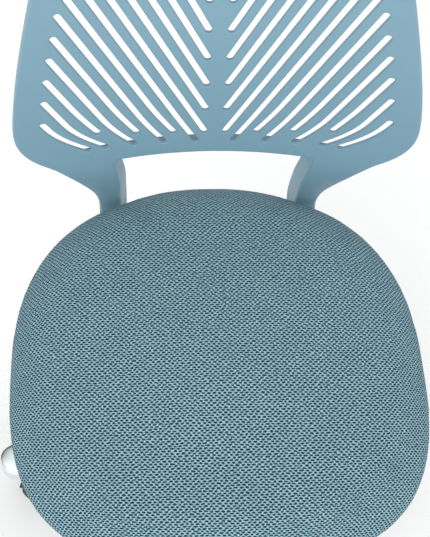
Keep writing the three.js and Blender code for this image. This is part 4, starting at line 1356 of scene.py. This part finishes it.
@dataclass
class StarBase:
    """The chromed five-leg base: hollow legs, arched on top, that meet in a turned hub.

    Attributes:
        legs: how many.
        tip_centre: radius of the round tips' middles.
        tip_radius: round end of a leg.
        hub_radius: radius of the hub.
        leg_wall: thickness of a leg's wall.
        stem_hole: radius of the castor's socket.
        root: where the legs' solids start, inside the hub.
        tip_above_castor: from the fork's top up to the tips' underside.
        arch: roundness of a leg's section, 2 for an ellipse.
        waist, root_swell, tip_swell: a leg's half width at its waist, and what its two ends add.
        tip_droop: how much lower the top is at the very tip.
        tip_bottom, root_bottom, tip_top, root_top: heights of the legs' undersides and tops.
        stem_top, stem_reach: height of the castors' stems and their distance from the axis.
    """

    legs: int = 5
    tip_centre: float = 0.252
    tip_radius: float = 0.025
    hub_radius: float = 0.034
    leg_wall: float = 0.004
    stem_hole: float = 0.0058
    root: float = 0.012
    tip_above_castor: float = 0.004
    arch: float = 3.4
    waist: float = 0.018
    root_swell: float = 0.007
    tip_swell: float = 0.0068
    tip_droop: float = 0.008
    tip_bottom: float = field(init=False)
    root_bottom: float = field(init=False)
    tip_top: float = field(init=False)
    root_top: float = field(init=False)
    stem_top: float = field(init=False)
    stem_reach: float = field(init=False)

    def __post_init__(self) -> None:
        """Takes the legs' heights and the stems' distance from the castors."""
        self.tip_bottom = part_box("castor_body_1")[1][2] + self.tip_above_castor
        self.root_bottom = self.tip_bottom + 0.016
        self.tip_top = self.tip_bottom + 0.018
        self.root_top = self.tip_bottom + 0.054
        self.stem_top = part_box("castor_stem_1")[1][2] + FIT
        self.stem_reach = (middle_of("castor_stem_1") - middle_of("gas_column")).xy.length

    def section(self, reach: float, half: float, top: float, bottom: float) -> Ring:
        """One arched section across a leg.

        Args:
            reach: distance from the axis.
            half: half width.
            top: height of the arch.
            bottom: height of its feet.

        Returns:
            The points, from one foot over the arch to the other.
        """
        points = []
        steps = 24
        for i in range(steps + 1):
            turn = math.pi * i / steps
            across, up = math.cos(turn), math.sin(turn)
            y = half * math.copysign(abs(across) ** (2 / self.arch), across)
            points.append(Vector((reach, y, bottom + (top - bottom) * up ** (2 / self.arch))))
        return points

    def leg(self) -> bpy.types.Object:
        """One solid leg along +X."""
        root, round_end = self.root, self.tip_centre
        along, around = 18, 20
        reaches = [root + (round_end - root) * i / along for i in range(along)]
        reaches += [round_end + self.tip_radius * math.sin(math.pi * i / around) for i in range(around // 2)]
        rings = []
        for reach in reaches:
            part = share(reach, self.hub_radius, round_end)
            half = self.waist + self.root_swell * (1 - part) ** 1.6 + self.tip_swell * part ** 5
            top = self.root_top + (self.tip_top - self.root_top) * part ** 0.85
            if reach > round_end:
                run = (reach - round_end) / self.tip_radius
                half = self.tip_radius * math.sqrt(max(0.0, 1 - run * run))
                top -= self.tip_droop * (1 - half / self.tip_radius)
            bottom = self.root_bottom + (self.tip_bottom - self.root_bottom) * part
            rings.append(self.section(reach, half, top, bottom))
        return loft("leg", rings)

    def channel(self) -> bpy.types.Object:
        """The hollow under a leg, from beside the hub to short of the castor's socket."""
        under_arch = 0.002
        rings = []
        ends = ((self.hub_radius + 0.006, 0.017, self.root_top - 0.006),
                (self.stem_reach - 0.015, 0.016, self.tip_top))
        for reach, half, top in ends:
            rings.append(self.section(reach, half, top - self.leg_wall - under_arch, self.tip_bottom - 0.005))
        return loft("channel", rings)

    def build(self) -> None:
        """Joins the legs and the hub, and bores them."""
        axis = middle_of("gas_column")
        low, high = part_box("star_base")
        hub = self.hub_radius
        lower_edge = [(hub - 0.004, low[2]), (hub - 0.001, low[2] + 0.002), (hub, low[2] + 0.006)]
        belly = [(hub + 0.0005, low[2] + 0.03)]
        upper_edge = [(hub, high[2] - 0.008), (hub - 0.0012, high[2] - 0.003),
                      (hub - 0.004, high[2] - 0.0008), (hub - 0.0065, high[2])]
        base = turned("chrome_star_base", [*lower_edge, *belly, *upper_edge])
        leg, channel = self.leg(), self.channel()
        hole = turned("hole", [(self.stem_hole, self.tip_bottom - 0.003), (self.stem_hole, self.stem_top)],
                      (self.stem_reach, 0, 0), 32)
        combine(leg, channel, Cut.TAKE_AWAY)
        combine(leg, hole, Cut.TAKE_AWAY)
        for number in range(self.legs):
            place = Matrix.Rotation(math.pi / 2 + 2 * math.pi * number / self.legs, 4, "Z")
            combine(base, copy_of(leg, f"leg_{number}", place), Cut.JOIN)
        bpy.data.objects.remove(leg)
        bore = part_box("gas_column")[1][0] + FIT
        combine(base, turned("bore", [(bore, low[2] - PAST), (bore, high[2] + PAST)]), Cut.TAKE_AWAY)
        base.data.transform(Matrix.Translation((axis.x, axis.y, 0)))
        smooth(base, 38)
        fit_out(base, CHROME, "base", "chrome", "star_base")


@dataclass
class Castors:
    """Five twin-wheel castors: a hooded fork on a stem, and a wheel each side of its web.

    Attributes:
        wheel_radius: radius of the tread, which the hood clears.
        web: thickness of the fork's middle.
        hood_wall: thickness of the hood.
        stem: radius of the stem.
        axle: radius of the axle.
        trail: from the stem to the axle.
        wheel_inner: from the castor's middle to a wheel's inner face.
        hood_half: half width of the hood.
        hood_gap: from the tread to the hood.
        hood_from, hood_to: the hood's ends in degrees, from behind the wheel over its top.
        boss_wall: thickness of the sleeve round the stem.
        bore_floor: height of the bore's floor over the axle.
        web_front: how far the web reaches past the stem.
        collar: how far the stem's collar stands out.
    """

    wheel_radius: float = 0.025
    web: float = 0.008
    hood_wall: float = 0.003
    stem: float = 0.0055
    axle: float = 0.0035
    trail: float = 0.020
    wheel_inner: float = 0.0045
    hood_half: float = 0.0239
    hood_gap: float = 0.002
    hood_from: int = 15
    hood_to: int = 150
    boss_wall: float = 0.004
    bore_floor: float = 0.004
    web_front: float = 0.008
    collar: float = 0.0025

    def wheel(self, radius: float) -> bpy.types.Object:
        """One wheel about +Z, its inner face at 0: a rounded tread and a dished outer face.

        Args:
            radius: radius of the tread.

        Returns:
            The wheel.
        """
        bore, blind_end = 0.004, 0.0172
        hub = [(bore, blind_end), (bore, 0.0), (0.0100, 0.0), (0.0104, 0.0055)]
        tread = [(radius - 0.0015, 0.0055), (radius, 0.007), (radius, 0.0152), (radius - 0.0004, 0.0164),
                 (radius - 0.0016, 0.0178), (radius - 0.0035, 0.0184)]
        dish = [(0.0188, 0.0184), (0.0181, 0.0172), (0.0122, 0.0170), (0.0116, 0.0184), (0.0105, 0.0190)]
        made = turned("wheel", [*hub, *tread, *dish], sides=48)
        soften(made, 0.0003, 1)
        return made

    def fork(self, axle_z: float, top: float) -> bpy.types.Object:
        """The hooded fork with its stem at the origin, trailing towards +Y.

        Args:
            axle_z: height of the axle.
            top: height of the sleeve's top.

        Returns:
            The fork.
        """
        half, edge = self.hood_half, 0.001
        inner = self.wheel_radius + self.hood_gap
        outer = inner + self.hood_wall
        section = ((-half, inner), (half, inner), (half, outer - edge), (half - edge, outer),
                   (-half + edge, outer), (-half, outer - edge))
        rings = []
        for degrees in range(self.hood_from, self.hood_to + 1, 5):
            turn = math.radians(degrees)
            rings.append([Vector((x, self.trail + radius * math.cos(turn), axle_z + radius * math.sin(turn)))
                          for x, radius in section])
        body = loft("castor_fork", rings)
        stem_bottom = axle_z + self.bore_floor
        boss_bottom = stem_bottom - 0.004
        sides = [(-self.web_front, boss_bottom), (self.trail, axle_z - 0.009),
                 (self.trail + 0.006, axle_z - 0.007), (self.trail + 0.009, axle_z),
                 (self.trail + 0.009, axle_z + 0.020), (-self.web_front, axle_z + 0.020)]
        web = loft("web", [[Vector((x, y, z)) for y, z in sides] for x in (-self.web / 2, self.web / 2)])
        combine(body, web, Cut.JOIN)
        boss = self.stem + self.boss_wall
        combine(body, turned("boss", [(boss, boss_bottom), (boss, top)], sides=40), Cut.JOIN)
        bore = self.stem + FIT
        combine(body, turned("bore", [(bore, stem_bottom), (bore, top + PAST)], sides=40), Cut.TAKE_AWAY)
        across = self.axle + FIT
        hole = turned("hole", [(across, -2 * PAST), (across, 2 * PAST)], sides=32)
        at_axle = Matrix.Translation((0, self.trail, axle_z))
        hole.data.transform(at_axle @ Matrix.Rotation(math.pi / 2, 4, "Y"))
        combine(body, hole, Cut.TAKE_AWAY)
        soften(body, 0.0007)
        return body

    def pin(self, low: float, high: float, leg_bottom: float) -> bpy.types.Object:
        """The stem, with the collar that the leg rests on.

        Args:
            low: height of its lower end.
            high: height of its upper end.
            leg_bottom: underside of the leg.

        Returns:
            The stem.
        """
        radius, collar = self.stem, self.stem + self.collar
        collar_low, collar_high = leg_bottom - 0.0032, leg_bottom - 0.0006
        return turned("stem", [
            (radius - 0.0008, low), (radius, low + 0.0008), (radius, collar_low), (collar, collar_low),
            (collar, collar_high), (radius, collar_high), (radius, high - 0.0012),
            (radius - 0.0012, high)], sides=40)

    def build(self) -> None:
        """Makes one castor's pieces and copies them to the five stems."""
        axle_z = middle_of("castor_axle_1").z
        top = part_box("castor_body_1")[1][2]
        stem_low, stem_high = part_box("castor_stem_1")
        wheel, fork = self.wheel(axle_z), self.fork(axle_z, top)
        pin = self.pin(stem_low[2], stem_high[2], top + StarBase.tip_above_castor)
        soften(pin, 0.0003, 1)
        hub = middle_of("gas_column")
        for number in range(1, StarBase.legs + 1):
            at = middle_of(f"castor_stem_{number}")
            towards_hub = math.atan2(hub.y - at.y, hub.x - at.x) - math.pi / 2
            place = Matrix.Translation((at.x, at.y, 0)) @ Matrix.Rotation(towards_hub, 4, "Z")
            body = f"castor_{number}"
            fit_out(copy_of(fork, f"castor_{number}_fork", place), NYLON, body, "black_nylon",
                    f"castor_body_{number}")
            fit_out(copy_of(pin, f"castor_{number}_pin", place), ZINC, body, "zinc_steel",
                    f"castor_stem_{number}")
            paint.on(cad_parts[f"castor_axle_{number}"], ZINC)
            for letter, side in (("a", -1), ("b", 1)):
                turn = Matrix.Rotation(side * math.pi / 2, 4, "Y")
                spot = Matrix.Translation((side * self.wheel_inner, self.trail, axle_z))
                fit_out(copy_of(wheel, f"castor_{number}_wheel_{letter}", place @ spot @ turn), TREAD,
                        f"wheel_{number}_{letter}", "wheel_plastic", f"castor_wheel_{number}_{letter}")
        for pattern in (wheel, fork, pin):
            bpy.data.objects.remove(pattern)


# ---------------------------------------------------------------- column, mechanism and fasteners


@dataclass
class GasLift:
    """The black column in the hub, its nylon bush, and the bright cylinder that slides in it.

    Attributes:
        column: outer radius of the column.
        bore: its inner radius.
        floor: thickness of its floor.
        rod_hole: radius of the holes that the piston rod passes.
        cylinder: outer radius of the cylinder.
        cylinder_bore: its inner radius.
        end_wall: thickness of the cylinder's ends.
        pin_hole: radius of the hole for the release pin.
        edge: rounding of the column's upper edge.
        sliding_gap: between the cylinder and the bush.
        flange: how far the bush's flange stands out past the column.
    """

    column: float = 0.025
    bore: float = 0.0225
    floor: float = 0.003
    rod_hole: float = 0.0055
    cylinder: float = 0.014
    cylinder_bore: float = 0.011
    end_wall: float = 0.012
    pin_hole: float = 0.0045
    edge: float = 0.0008
    sliding_gap: float = 0.0005
    flange: float = 0.002

    def build(self) -> None:
        """Turns the column, the bush and the cylinder, and dresses what is inside them."""
        axis = middle_of("gas_cylinder")
        at = (axis.x, axis.y, 0)
        low, high = (corner[2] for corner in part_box("gas_column"))
        edge = self.edge
        column = turned("lift_column", [
            (self.rod_hole, low), (self.column - 0.001, low), (self.column, low + 0.002),
            (self.column, high - edge), (self.column - edge, high), (self.bore, high),
            (self.bore, low + self.floor), (self.rod_hole, low + self.floor)], at, ends=Ends.LOOPED)
        smooth(column)
        fit_out(column, POWDER, "base", "black_steel", "gas_column")

        low, top = (corner[2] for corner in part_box("column_bush"))
        inner, flange = self.cylinder + self.sliding_gap, self.column + self.flange
        bush = turned("column_guide_bush", [
            (inner, low), (self.bore - FIT, low), (self.bore - FIT, high + FIT), (flange, high + FIT),
            (flange, high + 0.0012), (flange - edge, top - edge), (self.column - 0.002, top),
            (inner, top)], at, ends=Ends.LOOPED)
        soften(bush, 0.0004, 1)
        fit_out(bush, NYLON, "base", "black_nylon", "column_bush")

        low, high = (corner[2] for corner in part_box("gas_cylinder"))
        inner_low, inner_high = low + self.end_wall, high - self.end_wall
        cylinder = turned("lift_cylinder", [
            (self.rod_hole, low), (self.cylinder - 0.001, low), (self.cylinder, low + 0.001),
            (self.cylinder, high - 0.002), (self.cylinder - 0.002, high), (self.pin_hole, high),
            (self.pin_hole, inner_high), (self.cylinder_bore, inner_high),
            (self.cylinder_bore, inner_low), (self.rod_hole, inner_low)], at, ends=Ends.LOOPED)
        smooth(cylinder)
        fit_out(cylinder, CHROME, "seat", "chrome", "gas_cylinder")
        for node in ("piston_rod", "rod_clip", "bearing_washer_lower", "bearing_washer_upper", "release_pin"):
            paint.on(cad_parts[node], ZINC)
        paint.on(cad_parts["bearing_cage"], NYLON)
        paint.on(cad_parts["rubber_buffer"], RUBBER)


@dataclass
class Mechanism:
    """The pressed plate under the seat with its taper socket, and the release lever.

    Attributes:
        grip_half: half width of the lever's grip.
        grip_height: its half height.
        ribs: finger ribs along it.
        rib_height: height of a rib, as a share of the grip.
        ribbed: the ribbed stretch, as shares of the grip's length.
        end_size, swell: share of the full section at the very ends, and what the rest adds to it.
        rounded: share of the length over which each end rounds off.
        bar_half, bar_height: half width and half height of the hole for the bar.
        bar_start, bar_reach: where the hole starts and how long it is.
    """

    grip_half: float = 0.013
    grip_height: float = 0.0065
    ribs: int = 5
    rib_height: float = 0.035
    ribbed: tuple[float, float] = (0.25, 0.75)
    end_size: float = 0.72
    swell: float = 0.3
    rounded: float = 0.125
    bar_half: float = 0.0033
    bar_height: float = 0.0043
    bar_start: float = 0.0077
    bar_reach: float = 0.06

    def build_grip(self) -> None:
        """Makes the ribbed nylon grip over the lever's end."""
        low, high = box_of("lever_grip")
        middle = (low + high) / 2
        rings = []
        steps, sides = 40, 28
        start, end = self.ribbed
        for step in range(steps + 1):
            part = step / steps
            rounding = math.pi / 2 * share(min(part, 1 - part), 0.0, self.rounded)
            size = self.end_size + self.swell * math.sin(rounding)
            if start < part < end:
                size += self.rib_height * math.sin(2 * math.pi * self.ribs * (part - start) / (end - start))
            half, height = self.grip_half * size, self.grip_height * size
            x = low.x + (high.x - low.x) * part
            turns = [2 * math.pi * i / sides for i in range(sides)]
            rings.append([Vector((x, middle.y + half * math.cos(turn), middle.z + height * math.sin(turn)))
                          for turn in turns])
        grip = loft("release_lever_grip", rings)
        starts = low.x + self.bar_start
        corners = ((-1, -1), (1, -1), (1, 1), (-1, 1))
        sleeve = loft("sleeve", [[Vector((x, middle.y + y * self.bar_half, middle.z + z * self.bar_height))
                                  for y, z in corners] for x in (starts, starts + self.bar_reach)])
        combine(grip, sleeve, Cut.TAKE_AWAY)
        smooth(grip, 45)
        fit_out(grip, NYLON, "lever", "black_nylon", "lever_grip")

    def build(self) -> None:
        """Refines the pressed and turned pieces and adds the grip."""
        for name, node, rounding, finish, body, slot in (
                ("pressed_mechanism_plate", "mechanism_plate", 0.0012, POWDER, "seat", "black_steel"),
                ("welded_taper_socket", "taper_socket", 0.0005, POWDER, "seat", "black_steel"),
                ("folded_lever_bracket", "lever_bracket", 0.0005, ZINC, "seat", "zinc_steel"),
                ("release_lever_bar", "lever_arm", 0.0009, ZINC, "lever", "zinc_steel")):
            fit_out(refined(name, node, rounding), finish, body, slot, node)
        paint.on(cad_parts["lever_pivot_pin"], ZINC)
        self.build_grip()


@dataclass
class Bolts:
    """The eight button-head bolts that come up through the board.

    Attributes:
        head: radius of the head.
        shank: radius of the shank.
        socket: half width of the hexagon socket across its corners.
        head_height: height of the head.
        socket_depth: depth of the socket.
    """

    head: float = 0.006
    shank: float = 0.003
    socket: float = 0.0023
    head_height: float = 0.004
    socket_depth: float = 0.0024

    def pattern(self, length: float) -> bpy.types.Object:
        """One bolt, head down, with the head's face at 0.

        Args:
            length: over all.

        Returns:
            The bolt.
        """
        bolt = turned("bolt", [
            (self.head * 0.55, 0.0), (self.head * 0.78, 0.0005), (self.head * 0.93, 0.0015),
            (self.head, 0.0028), (self.head, self.head_height), (self.shank, self.head_height),
            (self.shank, length - 0.0006), (self.shank - 0.0006, length)], sides=36)
        socket = turned("socket", [(self.socket, -0.001), (self.socket, self.socket_depth)], sides=6)
        combine(bolt, socket, Cut.TAKE_AWAY)
        smooth(bolt, 40)
        return bolt

    def build(self) -> None:
        """Copies a bolt to each place."""
        for kind in BOLT_KINDS:
            low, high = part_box(f"{kind}_1")
            pattern = self.pattern(high[2] - low[2])
            for number in BOLTS_OF_A_KIND:
                node = f"{kind}_{number}"
                at = middle_of(node)
                place = Matrix.Translation((at.x, at.y, low[2]))
                bolt = copy_of(pattern, f"{kind}_button_head_{number}", place)
                fit_out(bolt, ZINC, "seat", "zinc_steel", node)
            bpy.data.objects.remove(pattern)


# ---------------------------------------------------------------- studio


@dataclass
class Studio:
    """A pale floor, soft light and one camera.

    Attributes:
        aim: the point looked at, from the swivel axis on the floor.
        distance: from the aim to the camera.
        azimuth, elevation, roll: the camera's angles, in degrees.
        lens: focal length on a 36 mm sensor.
        bright_side: direction of the light tent's brightest side.
        tent: strength of its dimmest and brightest sides.
        tent_range: how far a direction faces the bright side where the tent is dimmest and brightest.
        floor_colour, surround_colour: sRGB hex of the floor and of the tent.
        floor_size: side of the floor.
        lamp_target: what the lamps point at.
    """

    aim: tuple[float, float, float] = (0.0022, 0.1335, 0.415)
    distance: float = 1.4
    azimuth: float = -6.105
    elevation: float = 55.0
    roll: float = 4.083
    lens: float = 84.947
    bright_side: tuple[float, float, float] = (0.0, -0.62, 0.78)
    tent: tuple[float, float] = (0.12, 1.34)
    tent_range: tuple[float, float] = (-0.4, 0.7)
    floor_colour: str = "#F7F7F7"
    surround_colour: str = "#FBFCFC"
    floor_size: float = 30
    lamp_target: tuple[float, float, float] = (0.0, 0.0, 0.45)

    def place_camera(self) -> None:
        """Puts the camera at its angle from the aim."""
        turn, rise, roll = (math.radians(v) for v in (self.azimuth, self.elevation, self.roll))
        back = Vector((math.sin(turn) * math.cos(rise), -math.cos(turn) * math.cos(rise), math.sin(rise)))
        right = (-back).cross(Vector((0, 0, 1))).normalized()
        up = right.cross(-back)
        across = math.cos(roll) * right + math.sin(roll) * up
        upward = -math.sin(roll) * right + math.cos(roll) * up
        place = Matrix((across, upward, back)).transposed().to_4x4()
        axis = middle_of("gas_column")
        place.translation = Vector(self.aim) + Vector((axis.x, axis.y, 0)) + back * self.distance
        bpy.ops.object.select_all(action="DESELECT")
        bpy.ops.object.camera_add()
        camera = bpy.context.object
        camera.name = "camera"
        camera.data.lens = self.lens
        camera.matrix_world = place
        bpy.context.scene.camera = camera

    def lay_floor(self) -> None:
        """Lays a plain pale floor."""
        bpy.ops.object.select_all(action="DESELECT")
        bpy.ops.mesh.primitive_plane_add(size=self.floor_size)
        floor = bpy.context.object
        floor.name = "floor"
        made = bpy.data.materials.new("pale studio floor")
        tree = cleared(made)
        shown(tree, add_node(tree, "ShaderNodeBsdfPrincipled", inputs={
            "Base Color": linear(self.floor_colour), "Roughness": 0.9, "Specular IOR Level": 0.1}))
        floor.data.materials.append(made)

    def add_lamp(self, name: str, at: Sequence[float], size: float, power: float) -> None:
        """Adds one soft square lamp that points at the seat.

        Args:
            name: the lamp's name.
            at: where it stands.
            size: its side.
            power: in watts.
        """
        bpy.ops.object.select_all(action="DESELECT")
        bpy.ops.object.light_add(type="AREA", location=at)
        lamp = bpy.context.object
        lamp.name = name
        lamp.data.size = size
        lamp.data.energy = power
        towards = Vector(self.lamp_target) - Vector(at)
        lamp.rotation_euler = towards.to_track_quat("-Z", "Y").to_euler()

    def light(self) -> None:
        """Lights the chair by a tent that is bright in front and overhead and dim behind, and by lamps."""
        self.add_lamp("key", (-1.0, -1.6, 2.3), 1.6, 20)
        self.add_lamp("fill", (1.9, -0.6, 1.2), 1.4, 5)
        world = bpy.data.worlds.new("light tent")
        tree = cleared(world)
        direction = add_node(tree, "ShaderNodeTexCoord").outputs["Generated"]
        facing = add_node(tree, "ShaderNodeVectorMath", {"operation": "DOT_PRODUCT"}, {
            0: direction, 1: self.bright_side})
        strength = add_node(tree, "ShaderNodeMapRange", {"interpolation_type": "SMOOTHSTEP"}, {
            "Value": facing.outputs["Value"], "From Min": self.tent_range[0], "From Max": self.tent_range[1],
            "To Min": self.tent[0], "To Max": self.tent[1]})
        seen = add_node(tree, "ShaderNodeLightPath").outputs["Is Camera Ray"]
        brightness = add_node(tree, "ShaderNodeMix", {"data_type": "FLOAT"}, {
            0: seen, 2: strength.outputs["Result"], 3: 1.0})
        shown(tree, add_node(tree, "ShaderNodeBackground", inputs={
            "Color": linear(self.surround_colour), "Strength": brightness.outputs[0]}))
        bpy.context.scene.world = world
        bpy.context.scene.view_settings.view_transform = "Standard"

    def build(self) -> None:
        """Sets the whole stage."""
        self.place_camera()
        self.lay_floor()
        self.light()


def main() -> None:
    """Builds the chair piece by piece."""
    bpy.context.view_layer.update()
    for part in (Studio(), Backrest(), Seat(), StarBase(), Castors(), GasLift(), Mechanism(), Bolts()):
        log.info("building %s", type(part).__name__)
        part.build()


if __name__ == "__main__":
    main()
